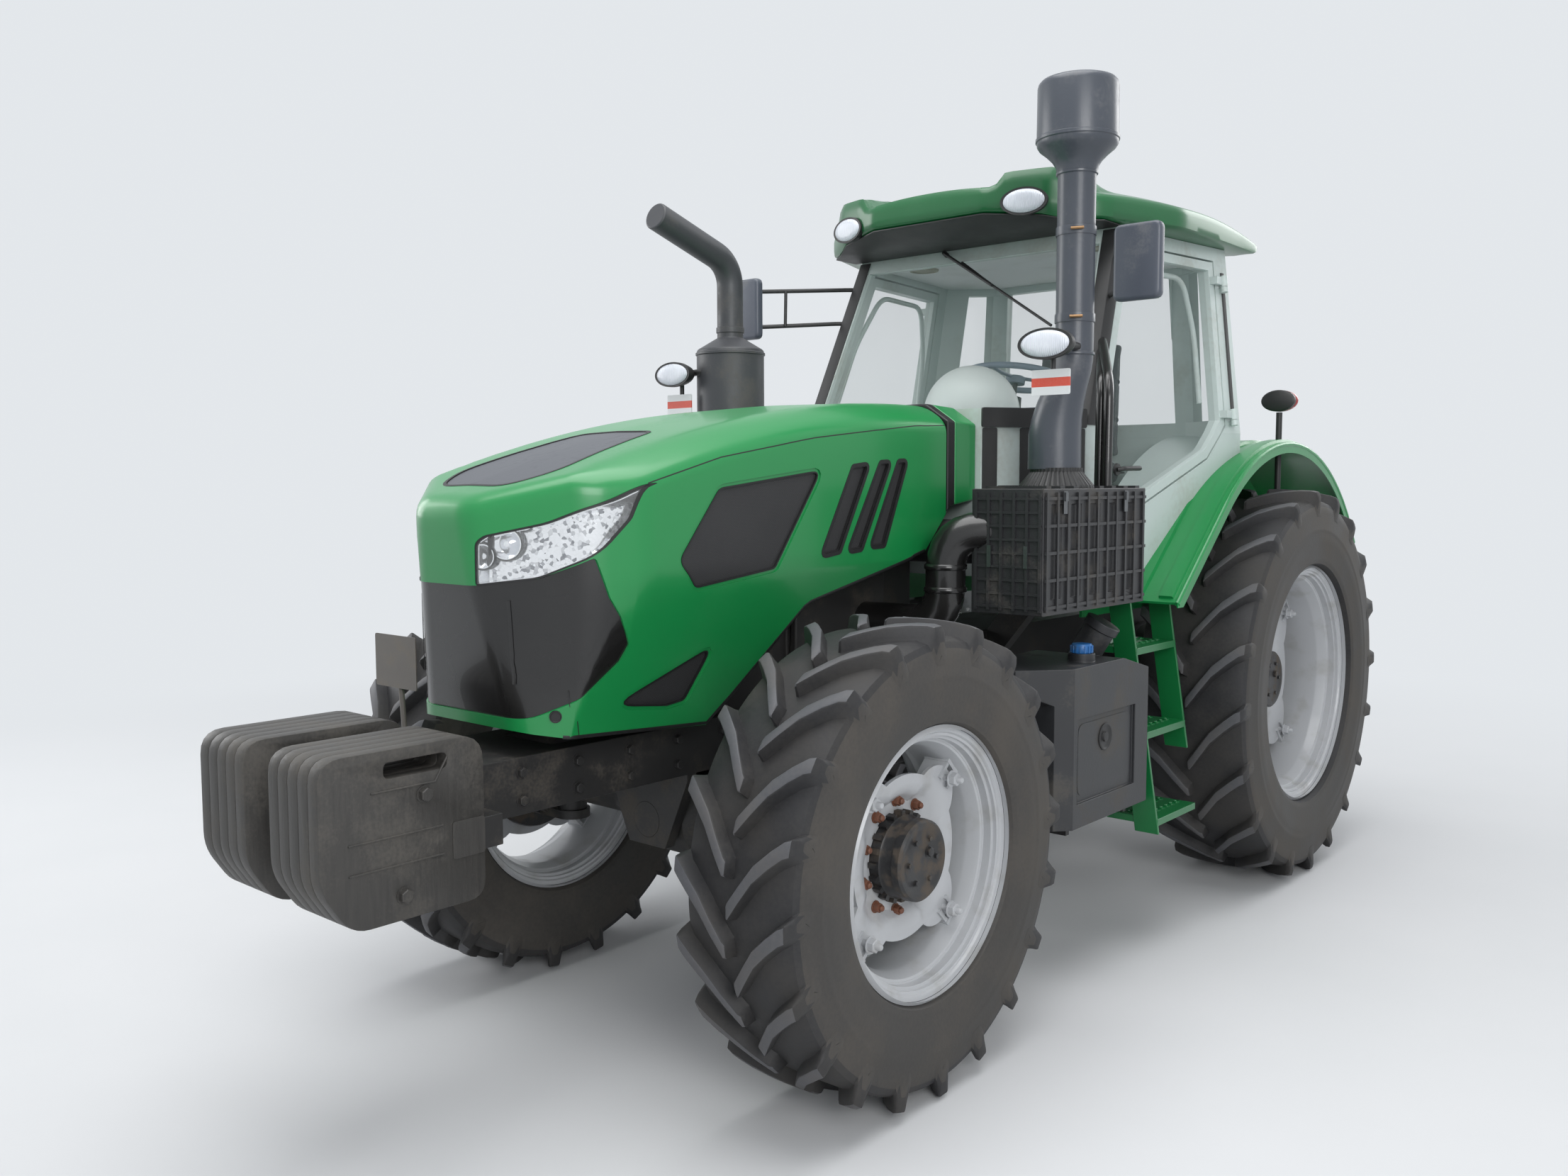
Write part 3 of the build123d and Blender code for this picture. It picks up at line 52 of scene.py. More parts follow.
def srgb(red, green, blue):
    """A colour written as 0 to 255 paint values, in the renderer's linear scale."""
    def linear(value):
        value = value / 255
        return value / 12.92 if value < 0.04045 else ((value + 0.055) / 1.055) ** 2.4
    return (linear(red), linear(green), linear(blue), 1.0)


class Wire:
    """One output inside a finish. Arithmetic on it adds Math nodes."""

    def __init__(self, finish, socket):
        self.finish = finish
        self.socket = socket

    def maths(self, operation, *others):
        return self.finish.node("ShaderNodeMath", {"operation": operation}, (self, *others))

    def __add__(self, other):
        return self.maths("ADD", other)

    def __sub__(self, other):
        return self.maths("SUBTRACT", other)

    def __rsub__(self, other):
        return self.finish.node("ShaderNodeMath", {"operation": "SUBTRACT"}, (other, self))

    def __mul__(self, other):
        return self.maths("MULTIPLY", other)


class Finish:
    """One material: a surface shader, and the nodes that vary it."""

    def __init__(self, name, **surface):
        self.material = bpy.data.materials.new(name)
        self.material.use_nodes = True
        self.tree = self.material.node_tree
        self.shader = self.tree.nodes["Principled BSDF"]
        for socket, value in surface.items():
            self.shader.inputs[socket.replace("_", " ")].default_value = value
        self.place = None

    def node(self, kind, settings=None, values=(), output=0):
        """Adds a node: its settings first, then its sockets' values or wires."""
        made = self.tree.nodes.new(kind)
        for setting, value in (settings or {}).items():
            if setting == "stops":
                for stop, (at, colour) in zip(made.color_ramp.elements, value):
                    stop.position = at
                    stop.color = colour
            else:
                setattr(made, setting, value)
        pairs = values.items() if isinstance(values, dict) else enumerate(values)
        for key, value in pairs:
            if isinstance(value, Wire):
                self.tree.links.new(value.socket, made.inputs[key])
            else:
                made.inputs[key].default_value = value
        return Wire(self, made.outputs[output])

    def feed(self, socket, wire):
        self.tree.links.new(wire.socket, self.shader.inputs[socket])

    def position(self):
        if self.place is None:
            self.place = self.node("ShaderNodeTexCoord", output="Object")
        return self.place

    def axis(self, letter):
        return self.node("ShaderNodeSeparateXYZ", values=[self.position()], output=letter)

    def grain(self, scale, detail=3.0, stretch=(1, 1, 1)):
        """Soft random marks; a larger scale makes them smaller."""
        place = self.node("ShaderNodeMapping", values={"Vector": self.position(), "Scale": stretch})
        return self.node("ShaderNodeTexNoise", values={"Vector": place, "Scale": scale, "Detail": detail})

    def above(self, value, low, high):
        """0 below low, rising to 1 at high."""
        settings = {"interpolation_type": "SMOOTHSTEP"}
        return self.node("ShaderNodeMapRange", settings, {"Value": value, "From Min": low, "From Max": high})

    def blend(self, share, first, second):
        """A colour between two, by a share from 0 to 1."""
        return self.node("ShaderNodeMix", {"data_type": "RGBA"}, {0: share, 6: first, 7: second}, output=2)

    def bump(self, height, depth, strength=1.0):
        values = {"Height": height, "Distance": depth, "Strength": strength}
        self.feed("Normal", self.node("ShaderNodeBump", values=values))


def added(name, mesh):
    """A new object in the scene, showing a mesh, light or camera."""
    thing = bpy.data.objects.new(name, mesh)
    bpy.context.scene.collection.objects.link(thing)
    return thing


backdrop = srgb(236, 240, 244)
backdrop_strength = 0.92
backdrop_light = 0.50        # what the backdrop sheds on the machine
floor_shown, backdrop_from = 3.0, 8.0


def seen_rays(finish):
    """1 for what the camera sees, straight or in a gloss or through glass."""
    rays = [finish.node("ShaderNodeLightPath", output=f"Is {kind} Ray")
            for kind in ("Camera", "Glossy", "Transmission")]
    return (rays[0] + rays[1] + rays[2]).maths("MINIMUM", 1.0)


def floor_finish():
    """A matt pale floor that turns into the backdrop's own colour further out."""
    finish = Finish("floor", Roughness=0.9)
    marks = finish.grain(1.4)
    finish.feed("Base Color", finish.blend(marks, srgb(208, 210, 212), srgb(214, 215, 217)))
    reach = finish.node("ShaderNodeVectorMath", {"operation": "LENGTH"}, [finish.position()], output="Value")
    far = finish.above(reach, floor_shown, backdrop_from)
    glow = finish.node("ShaderNodeEmission", values=[backdrop, backdrop_strength])
    plain = Wire(finish, finish.shader.outputs[0])
    mixed = finish.node("ShaderNodeMixShader", values=[far * seen_rays(finish), plain, glow])
    finish.tree.links.new(mixed.socket, finish.tree.nodes["Material Output"].inputs["Surface"])
    return finish.material


floor_half = 60.0
floor_mesh = bpy.data.meshes.new("floor")
floor_mesh.from_pydata(
    [(-floor_half, -floor_half, 0), (floor_half, -floor_half, 0),
     (floor_half, floor_half, 0), (-floor_half, floor_half, 0)], [], [(0, 1, 2, 3)],
)
floor_mesh.materials.append(floor_finish())
floor = added("floor", floor_mesh)


class Sky(Finish):
    """The world's own shader, taken as a finish so that the same nodes serve it."""

    def __init__(self):
        self.material = bpy.data.worlds.new("sky")
        self.material.use_nodes = True
        self.tree = self.material.node_tree
        self.shader = self.tree.nodes["Background"]
        self.place = None


sky = Sky()
bpy.context.scene.world = sky.material
sky.shader.inputs["Color"].default_value = backdrop
sky.feed("Strength", seen_rays(sky) * (backdrop_strength - backdrop_light) + backdrop_light)

# Each light: name, place, what it points at, size across and power.
lights = (
    ("overhead", (0.5, -1.5, 7.5), (0, 0, 0.8), 6.0, 420.0),
    ("left_side", (7.0, -5.5, 4.2), (0, 0, 1.0), 4.0, 330.0),
    ("right_side", (-7.5, -3.0, 3.8), (0, 0, 1.2), 4.0, 190.0),
    ("behind", (2.0, 8.0, 5.0), (0, 0, 1.2), 4.0, 170.0),
)
for name, spot, target, across, power in lights:
    lamp = bpy.data.lights.new(name, "AREA")
    lamp.size = across
    lamp.energy = power
    stand = added(name, lamp)
    stand.location = spot
    aim = Vector(target) - Vector(spot)
    stand.rotation_euler = aim.to_track_quat("-Z", "Y").to_euler()

camera = bpy.data.cameras.new("camera")
camera.sensor_width = 36.0
camera.lens = 29.42          # mm, on the sensor above
camera.clip_end = 200.0
tripod = added("camera", camera)
tripod.location = (2.879, -4.051, 1.696)
pitch_down, roll, heading = 4.625, 0.162, 41.035
tripod.rotation_euler = [math.radians(angle) for angle in (90 - pitch_down, roll, heading)]
bpy.context.scene.camera = tripod
bpy.context.scene.view_settings.view_transform = "Standard"

# ---------------------------------------------------------------- tyres
# Agricultural cross-ply drive tyres: a black rubber carcass with slanted lugs that
# run from the middle of the tread round the shoulder. Moulded, then worn and dusty.


def piece(name, corners, faces, finish, body, slot, sharp=40):
    """A mesh piece from its corners and faces, smooth where faces meet under an angle."""
    mesh = bpy.data.meshes.new(name)
    mesh.from_pydata(corners, [], faces)
    mesh.validate()
    form = bmesh.new()
    form.from_mesh(mesh)
    bmesh.ops.recalc_face_normals(form, faces=form.faces)
    form.to_mesh(mesh)
    form.free()
    mesh.polygons.foreach_set("use_smooth", [True] * len(mesh.polygons))
    mesh.set_sharp_from_angle(angle=math.radians(sharp))
    mesh.materials.append(finish.material)
    thing = added(name, mesh)
    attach(thing, body)
    return thing


def round_x(x, radius, turn):
    """A point on a circle round the X axis."""
    return Vector((x, radius * math.cos(turn), radius * math.sin(turn)))


def between_rings(rings, around, closed=True, ends=True, looped=False):
    """Faces between rings of corners, each of a count around. They may join into closed
    rings, have a face over each end, or loop from the last ring to the first."""
    faces = []
    for ring in range(rings if looped else rings - 1):
        here, there = ring * around, (ring + 1) % rings * around
        for k in range(around if closed else around - 1):
            m = (k + 1) % around
            faces.append((here + k, here + m, there + m, there + k))
    if ends:
        last = (rings - 1) * around
        faces += [tuple(range(around)), tuple(range(last, last + around))]
    return faces


def spun(profile, steps, origin=(0, 0, 0), closed=False):
    """Corners and faces of (x, radius) points turned round the X axis."""
    corners = []
    for step in range(steps):
        turn = math.tau * step / steps
        corners += [round_x(x, radius, turn) + Vector(origin) for x, radius in profile]
    return corners, between_rings(steps, len(profile), closed, ends=False, looped=True)


def mirrored_to(part, sign, centre=(0, 0, 0)):
    """A part kept or mirrored across the middle by a sign, then moved to a centre."""
    corners, faces = part
    return [Vector((sign * p[0], p[1], p[2])) + Vector(centre) for p in corners], faces


def joined(parts):
    """Several (corners, faces) lists as one."""
    corners, faces = [], []
    for more_corners, more_faces in parts:
        start = len(corners)
        corners += more_corners
        faces += [tuple(index + start for index in face) for face in more_faces]
    return corners, faces


wheel_sizes = {
    # radius, width, bead seat, rim width, lugs a side
    "front": (0.665, 0.375, 0.3556, 0.330, 20),
    "rear": (0.835, 0.460, 0.4826, 0.381, 20),
}
lug_height = 0.038
bulge_share = 0.42           # height of the widest point between rim and tread floor
bead_inset = 0.024           # tyre bead inside the rim's edge
carcass_steps = 120
lug_stations = (
    # share across, foot under tread floor, crest across, crest drop, foot half, crest half
    (0.000, 0.000, 0.030, 0.0040, 0.027, 0.0200),
    (0.050, 0.000, 0.065, 0.0000, 0.032, 0.0240),
    (0.250, 0.000, 0.260, 0.0000, 0.033, 0.0240),
    (0.460, 0.001, 0.465, 0.0000, 0.033, 0.0240),
    (0.700, 0.004, 0.705, 0.0020, 0.034, 0.0235),
    (0.880, 0.010, 0.890, 0.0060, 0.035, 0.0235),
    (0.930, 0.018, 0.975, 0.0120, 0.036, 0.0230),
    (0.965, 0.036, 1.002, 0.0300, 0.035, 0.0200),
    (0.985, 0.058, 1.010, 0.0540, 0.030, 0.0130),
    (0.992, 0.074, 0.998, 0.0900, 0.020, 0.0060),
)


def swept_share(across):
    """How far round its sweep a lug has turned at a share of the half width."""
    if across < 0.50:
        return max(0.0, across - 0.03) / 0.47 * 0.62
    return 0.62 + min(1.1, (across - 0.50) / 0.45) * 0.38


def tyre_form(radius, width, seat, rim_width, count):
    """A carcass with moulded sidewalls, and two rows of lugs that lean opposite ways."""
    half = width / 2
    floor_radius = radius - lug_height
    bulge = seat + bulge_share * (floor_radius - seat)
    bead = rim_width / 2 - bead_inset
    wall = [
        (bead, seat + 0.0006), (bead + 0.010, seat + 0.012), (bead + 0.018, seat + 0.026),
        (half * 0.93, seat + 0.034), (half * 0.950, seat + 0.046), (half * 0.956, seat + 0.050),
        (half * 0.962, seat + 0.058), (half * 0.990, bulge - 0.012), (half * 1.000, bulge),
        (half * 1.003, bulge + 0.022), (half * 1.000, bulge + 0.040), (half * 1.006, bulge + 0.046),
        (half * 1.000, bulge + 0.052), (half * 0.985, floor_radius - 0.062),
        (half * 0.965, floor_radius - 0.036), (half * 0.925, floor_radius - 0.018),
        (half * 0.80, floor_radius - 0.006), (half * 0.50, floor_radius - 0.001), (0.0, floor_radius),
    ]
    profile = wall + [(-x, r) for x, r in reversed(wall[:-1])]
    parts = [spun(profile, carcass_steps, closed=True)]
    pitch = math.tau / count
    sweep = half * 1.02 / radius
    for side in (1, -1):
        for index in range(count):
            start = pitch * (index + 0.25 - 0.25 * side)
            corners = []
            for across, sink, crest_across, drop, foot, crest in lug_stations:
                turn = start - sweep * swept_share(across)
                low = floor_radius - sink - 0.004
                high = radius - drop
                rows = (
                    (0.0, foot), (0.30, foot * 0.55 + crest * 0.45), (0.86, crest),
                    (0.97, crest - 0.003), (1.0, crest - 0.007),
                )
                section = [(rise, -reach) for rise, reach in rows]
                section += [(rise, reach) for rise, reach in reversed(rows)]
                for rise, reach in section:
                    r = low + (high - low) * rise
                    x = side * half * (across + (crest_across - across) * rise)
                    corners.append(round_x(x, r, turn + reach / r))
            parts.append((corners, between_rings(len(lug_stations), len(section), closed=False)))
    return joined(parts)


def rubber_finish(name, deep, pale, dusty, dust_share):
    """Carbon-black rubber, bloomed and dusty, with a fine worn grain."""
    finish = Finish(name, Roughness=0.75, Specular_IOR_Level=0.4)
    clouds = finish.grain(4.0, 5.0)
    fine = finish.grain(90.0, 4.0)
    dust = finish.above(clouds * 0.8 + fine * 0.2, 0.38, 0.70)
    rubber = finish.blend(fine, deep, pale)
    finish.feed("Base Color", finish.blend(dust * dust_share, rubber, dusty))
    finish.feed("Roughness", dust * 0.20 + 0.55)
    finish.bump(fine * 0.6 + clouds * 0.4, 0.0018, 0.4)
    return finish


rubber = rubber_finish("tyre_rubber", srgb(35, 35, 37), srgb(45, 45, 47), srgb(70, 67, 63), 0.5)
crest_rubber = rubber_finish("lug_crest", srgb(74, 75, 79), srgb(88, 89, 93), srgb(92, 88, 84), 0.5)
wall_rubber = rubber_finish("tyre_wall", srgb(53, 51, 50), srgb(62, 60, 57), srgb(84, 79, 73), 0.6)
sides = (("left", 1), ("right", -1))
hub_spots = {}
for axle in ("front", "rear"):
    radius, width, seat, _, _ = wheel_sizes[axle]
    for side, sign in sides:
        low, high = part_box(f"tyre_{axle}_{side}")
        centre = (low + high) / 2
        hub_spots[axle, side] = centre
        form = mirrored_to(tyre_form(*wheel_sizes[axle]), sign, centre)
        tyre = piece(f"tyre_{axle}_{side}_lugged", *form, rubber, f"wheel_{axle}_{side}", "tyre_rubber", 40)
        tyre.data.materials.append(crest_rubber.material)
        tyre.data.materials.append(wall_rubber.material)
        for face in tyre.data.polygons:
            out = face.center - centre
            reach = math.hypot(out.y, out.z)
            radial = abs(face.normal.y * out.y + face.normal.z * out.z) / reach
            if reach > radius - 0.030 and radial > 0.55:
                face.material_index = 1
            elif reach < radius - lug_height - 0.030 and abs(out.x) > width * 0.44:
                face.material_index = 2
        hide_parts(f"tyre_{axle}_{side}")

# ---------------------------------------------------------------- rims
# Rolled steel rims with a well and bead flanges, and a pressed disc on four welded
# lugs, all sprayed silver-grey. Rust-orange nuts hold the disc to the hub.


def speckled(name, scale, first, second, **surface):
    """An even finish with a fine speckle between two colours."""
    finish = Finish(name, **surface)
    finish.feed("Base Color", finish.blend(finish.grain(scale), first, second))
    return finish


def rim_finish():
    """Sprayed silver-grey, with dust in soft clouds."""
    finish = Finish("rim_paint", Roughness=0.38, Coat_Weight=0.25)
    clouds = finish.grain(9.0, 5.0)
    dust = finish.above(clouds, 0.52, 0.72)
    finish.feed("Base Color", finish.blend(dust * 0.5, srgb(178, 180, 183), srgb(152, 150, 146)))
    finish.feed("Roughness", dust * 0.3 + 0.34)
    finish.bump(finish.grain(160.0, 2.0), 0.0006, 0.3)
    return finish


def hub_finish():
    """Satin black over a rough casting, dusty in patches."""
    finish = Finish("hub_paint", Roughness=0.45)
    clouds = finish.grain(26.0, 5.0)
    dust = finish.above(clouds, 0.46, 0.66)
    finish.feed("Base Color", finish.blend(dust, srgb(38, 38, 39), srgb(74, 66, 58)))
    finish.feed("Roughness", dust * 0.35 + 0.40)
    finish.bump(finish.grain(180.0, 3.0), 0.0008, 0.4)
    return finish


def hexagon(spot, along, across, height):
    """A hexagonal head with a chamfered crown on a washer, standing along a direction."""
    turn = Vector(along).normalized().to_track_quat("Z", "X").to_matrix()
    corners = []
    rings = ((0.72, 0.0), (0.72, 0.12), (0.577, 0.12), (0.577, 0.88), (0.50, 1.0))
    sides_of_ring = 12
    for index, (reach, rise) in enumerate(rings):
        for k in range(sides_of_ring):
            angle = math.tau * k / sides_of_ring
            bulge = 1.0 if index < 2 else (1.0 if k % 2 == 0 else 0.866)
            flat = Vector((math.cos(angle), math.sin(angle), 0)) * across * reach * bulge
            corners.append(Vector(spot) + turn @ (flat + Vector((0, 0, height * rise))))
    faces = between_rings(len(rings), sides_of_ring, ends=False)
    return corners, faces + [tuple(range(len(corners) - sides_of_ring, len(corners)))]


def slab(low, high):
    """A plain block between two corners."""
    x, y, z = zip(low, high)
    corners = [Vector((x[i], y[j], z[k])) for i in (0, 1) for j in (0, 1) for k in (0, 1)]
    faces = [(0, 1, 3, 2), (4, 6, 7, 5), (0, 4, 5, 1), (2, 3, 7, 6), (0, 2, 6, 4), (1, 5, 7, 3)]
    return corners, faces


def turned_part(part, turn, spot=(0, 0, 0)):
    """A part turned by a matrix about the origin, then moved to a spot."""
    corners, faces = part
    return [turn @ Vector(p) + Vector(spot) for p in corners], faces


def turned_about_x(part, angle):
    """A part turned round the X axis."""
    return turned_part(part, Matrix.Rotation(angle, 3, "X"))


rim_sheet = 0.008


def barrel_form(seat, width):
    """A rolled rim barrel of even sheet: flanges, bead seats, ridges and well."""
    half = width / 2
    outer = [
        (half, seat + 0.0195), (half - 0.004, seat + 0.0250), (half - 0.010, seat + 0.0225),
        (half - 0.0135, seat + 0.004), (half - 0.020, seat), (half - 0.030, seat - 0.001),
        (half - 0.034, seat - 0.009), (half - 0.058, seat - 0.010), (half - 0.062, seat - 0.022),
        (half - 0.098, seat - 0.034), (half - 0.110, seat - 0.036),
    ]
    outer += [(-x, r) for x, r in reversed(outer)]
    inner = []
    for k, (x, r) in enumerate(outer):
        before, after = outer[max(k - 1, 0)], outer[min(k + 1, len(outer) - 1)]
        run, rise = after[0] - before[0], after[1] - before[1]
        length = math.hypot(run, rise)
        inner.append((x - rim_sheet * rise / length * -1, r - rim_sheet * abs(run) / length))
    return spun(outer + list(reversed(inner)), 120, closed=True)


def disc_form(well, hole, face_x, lobes, dish):
    """A pressed disc with lobes that reach its welded lugs."""
    steps, thick = 144, 0.012
    rows = (0.0, 0.10, 0.30, 0.42, 0.55, 0.78, 1.0)
    lifts = (0.0, 0.0, 0.0, 0.012, 0.030, 0.036, 0.036)
    corners = []
    for step in range(steps):
        turn = math.tau * step / steps
        swell = max(0.0, math.cos(lobes * (turn - math.pi / 4)))
        reach = well * (0.74 + 0.20 * swell ** 0.8)
        column = []
        for share, lift in zip(rows, lifts):
            radius = hole + (reach - hole) * share
            column.append((face_x + dish * lift, radius))
        loop = column + [(x - thick, radius) for x, radius in reversed(column)]
        corners += [round_x(x, radius, turn) for x, radius in loop]
    return corners, between_rings(steps, 2 * len(rows), ends=False, looped=True)


def lug_blocks(well, face_x):
    """Four welded lugs between rim and disc, each with two cheeks and a bolt."""
    parts = []
    for index in range(4):
        turn = math.tau * index / 4 + math.pi / 4
        for gap in (-0.030, 0.018):
            cheek = slab((face_x - 0.060, gap, well * 0.80), (face_x + 0.020, gap + 0.012, well + 0.004))
            parts.append(turned_about_x(cheek, turn - math.pi / 2))
        foot = slab((face_x - 0.062, -0.032, well - 0.010), (face_x + 0.022, 0.032, well + 0.002))
        parts.append(turned_about_x(foot, turn - math.pi / 2))
        head = round_x(face_x + 0.036, well * 0.86, turn)
        parts.append(hexagon(head, (1, 0, 0), 0.034, 0.022))
        parts.append(spun([(face_x - 0.02, 0.0001), (face_x - 0.02, 0.010), (face_x + 0.07, 0.010),
                           (face_x + 0.074, 0.007), (face_x + 0.074, 0.0001)], 12,
                          origin=(0, head.y, head.z)))
    return parts


silver = rim_finish()
rust = speckled("nut_rust", 120.0, srgb(132, 74, 48), srgb(92, 76, 66), Metallic=0.2, Roughness=0.6)
hub_black = hub_finish()
disc_places = {
    # disc face from the wheel's middle, centre hole, dish, nuts, nut circle, hub start, hub end
    "front": (0.028, 0.119, 1.0, 10, 0.155, 0.125, 0.700),
    "rear": (-0.040, 0.129, 0.6, 10, 0.165, 0.045, 0.560),
}


for axle in ("front", "rear"):
    radius, width, seat, rim_width, _ = wheel_sizes[axle]
    face_x, hole, dish, nuts, circle, cap_x, housing_x = disc_places[axle]
    well = seat - 0.034 - rim_sheet
    rim_parts = [barrel_form(seat, rim_width), disc_form(well, hole, face_x, 4, dish)]
    rim_parts += lug_blocks(well, face_x + dish * 0.036 - 0.012)
    nut_parts = []
    for index in range(nuts):
        spot = round_x(face_x + 0.001, circle, math.tau * (index + 0.5) / nuts)
        nut_parts.append(hexagon(spot, (1, 0, 0), 0.025, 0.018))
        nut_parts.append(spun([(face_x, 0.009), (face_x + 0.026, 0.009), (face_x + 0.029, 0.006),
                               (face_x + 0.029, 0.0001)], 10, origin=(0, spot.y, spot.z)))
    drum_x = housing_x - hub_spots[axle, "left"].x + 0.0003
    hub_profile = [
        (drum_x, 0.0001), (drum_x, 0.135), (drum_x + 0.006, 0.140), (face_x - 0.046, 0.140),
        (face_x - 0.040, 0.190), (face_x - 0.034, 0.194), (face_x - 0.016, 0.194),
        (face_x - 0.0145, 0.190), (face_x - 0.0145, hole - 0.002), (face_x + 0.030, hole - 0.002),
        (face_x + 0.034, hole - 0.006), (cap_x - 0.030, hole - 0.010), (cap_x - 0.026, hole - 0.004),
        (cap_x - 0.006, hole - 0.006), (cap_x, hole - 0.013), (cap_x, hole - 0.030),
        (cap_x - 0.003, hole - 0.034), (cap_x - 0.003, 0.0001),
    ]
    hub_parts = [spun(hub_profile, 72)]
    for index in range(20):
        tooth = slab((face_x + 0.004, -0.008, hole - 0.006), (face_x + 0.030, 0.008, hole + 0.010))
        hub_parts.append(turned_about_x(tooth, math.tau * index / 20))
    for index in range(6):
        spot = round_x(cap_x - 0.003, hole - 0.055, math.tau * index / 6)
        hub_parts.append(hexagon(spot, (1, 0, 0), 0.013, 0.007))
    hub_parts.append(hexagon((cap_x - 0.003, 0.030, 0.020), (1, 0, 0), 0.024, 0.010))
    for side, sign in sides:
        body = f"wheel_{axle}_{side}"
        centre = hub_spots[axle, side]
        for name, parts, finish, slot in (
            ("rim", rim_parts, silver, "rim_paint"), ("hub", hub_parts, hub_black, "hub_paint"),
            ("wheel_nuts", nut_parts, rust, "rim_paint"),
        ):
            form = mirrored_to(joined(parts), sign, centre)
            piece(f"{name}_{axle}_{side}_turned", *form, finish, body, slot)
        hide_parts(f"rim_{axle}_{side}")
        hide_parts(f"hub_{axle}_{side}")

# ---------------------------------------------------------------- front axle and steering
# A cast beam axle hung on a lengthwise trunnion, with forked knuckles on kingpins, a
# double-ended steering cylinder behind it and the track rod. All in dull black paint.


def worn_paint(name, base, worn, dusty, gloss, scale=7.0):
    """Paint that has faded in clouds, with dust in patches."""
    finish = Finish(name, Roughness=gloss)
    clouds = finish.grain(scale, 5.0)
    fine = finish.grain(scale * 16, 3.0)
    dust = finish.above(clouds * 0.8 + fine * 0.2, 0.50, 0.70)
    paint = finish.blend(clouds, base, worn)
    finish.feed("Base Color", finish.blend(dust * 0.55, paint, dusty))
    finish.feed("Roughness", dust * 0.25 + gloss)
    finish.bump(fine, 0.0008, 0.35)
    return finish


def cad_form(node):
    """A node's corners and faces, with its flat areas joined back into whole faces."""
    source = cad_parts[node]
    form = bmesh.new()
    form.from_mesh(source.data)
    form.transform(source.matrix_world)
    bmesh.ops.remove_doubles(form, verts=form.verts, dist=0.00002)
    bmesh.ops.dissolve_limit(
        form, angle_limit=math.radians(1.0), verts=form.verts, edges=form.edges, delimit={"NORMAL"},
    )
    corners = [corner.co.copy() for corner in form.verts]
    faces = [[corner.index for corner in face.verts] for face in form.faces]
    form.free()
    return corners, faces


def formed(part, modifiers):
    """A mesh from corners and faces, after a list of modifiers."""
    mesh = bpy.data.meshes.new("blank")
    mesh.from_pydata(part[0], [], part[1])
    form = bmesh.new()
    form.from_mesh(mesh)
    bmesh.ops.recalc_face_normals(form, faces=form.faces)
    form.to_mesh(mesh)
    form.free()
    blank = added("blank", mesh)
    for kind, settings in modifiers:
        modifier = blank.modifiers.new(kind, kind)
        for setting, value in settings.items():
            setattr(modifier, setting, value)
    graph = bpy.context.evaluated_depsgraph_get()
    made = bpy.data.meshes.new_from_object(blank.evaluated_get(graph))
    bpy.data.objects.remove(blank)
    return made


def settled(name, mesh, finish, body, sharp=40, even=False):
    """A finished mesh as a piece on its body; even keeps wide faces flat beside soft edges."""
    mesh.name = name
    mesh.materials.clear()
    mesh.materials.append(finish.material)
    mesh.polygons.foreach_set("use_smooth", [True] * len(mesh.polygons))
    mesh.set_sharp_from_angle(angle=math.radians(sharp))
    thing = added(name, mesh)
    if even:
        thing.modifiers.new("even", "WEIGHTED_NORMAL").keep_sharp = True
        graph = bpy.context.evaluated_depsgraph_get()
        thing.data = bpy.data.meshes.new_from_object(thing.evaluated_get(graph))
        thing.modifiers.clear()
    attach(thing, body)
    return thing


def edged(width, steps=3, angle=30):
    """A rounding of edges sharper than an angle, as a modifier."""
    return ("BEVEL", {"width": width, "segments": steps, "limit_method": "ANGLE",
                      "angle_limit": math.radians(angle), "miter_outer": "MITER_ARC"})


def softened(node, width, finish, body="chassis", steps=3, angle=28):
    """The node's own form with rounded edges, in place of the node."""
    mesh = formed(cad_form(node), [edged(width, steps, angle)])
    thing = settled(f"{node}_soft", mesh, finish, body, even=True)
    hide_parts(node)
    return thing


def bolts(name, spots, across, height, finish, slot, body="chassis"):
    """Hexagonal bolt heads; each spot has a place and the way it faces."""
    parts = [hexagon(spot, along, across, height) for spot, along in spots]
    return piece(name, *joined(parts), finish, body, slot, 30)


_, fy, front_z = hub_spots["front", "left"]
ry = hub_spots["rear", "left"].y
cast_black = worn_paint("casting_paint", srgb(30, 30, 31), srgb(44, 43, 42), srgb(84, 78, 70), 0.55)
rod_chrome = speckled("rod_steel", 60.0, srgb(168, 170, 172), srgb(140, 141, 143),
                      Metallic=1.0, Roughness=0.22)
softened("front_axle", 0.010, cast_black)
softened("steering_cylinder", 0.004, cast_black)
softened("track_rod", 0.003, rod_chrome, "track_rod")
kingpin_x, bolt_circle = 0.585, 0.036
for side, sign in sides:
    softened(f"knuckle_{side}", 0.008, cast_black, f"knuckle_{side}")
    turns = [math.tau * k / 4 + 0.4 for k in range(4)]
    caps = [((sign * kingpin_x + bolt_circle * math.cos(turn), fy + bolt_circle * math.sin(turn),
              front_z + 0.125), (0, 0, 1)) for turn in turns]
    bolts(f"kingpin_bolts_{side}", caps, 0.016, 0.010, cast_black, "casting_paint", f"knuckle_{side}")

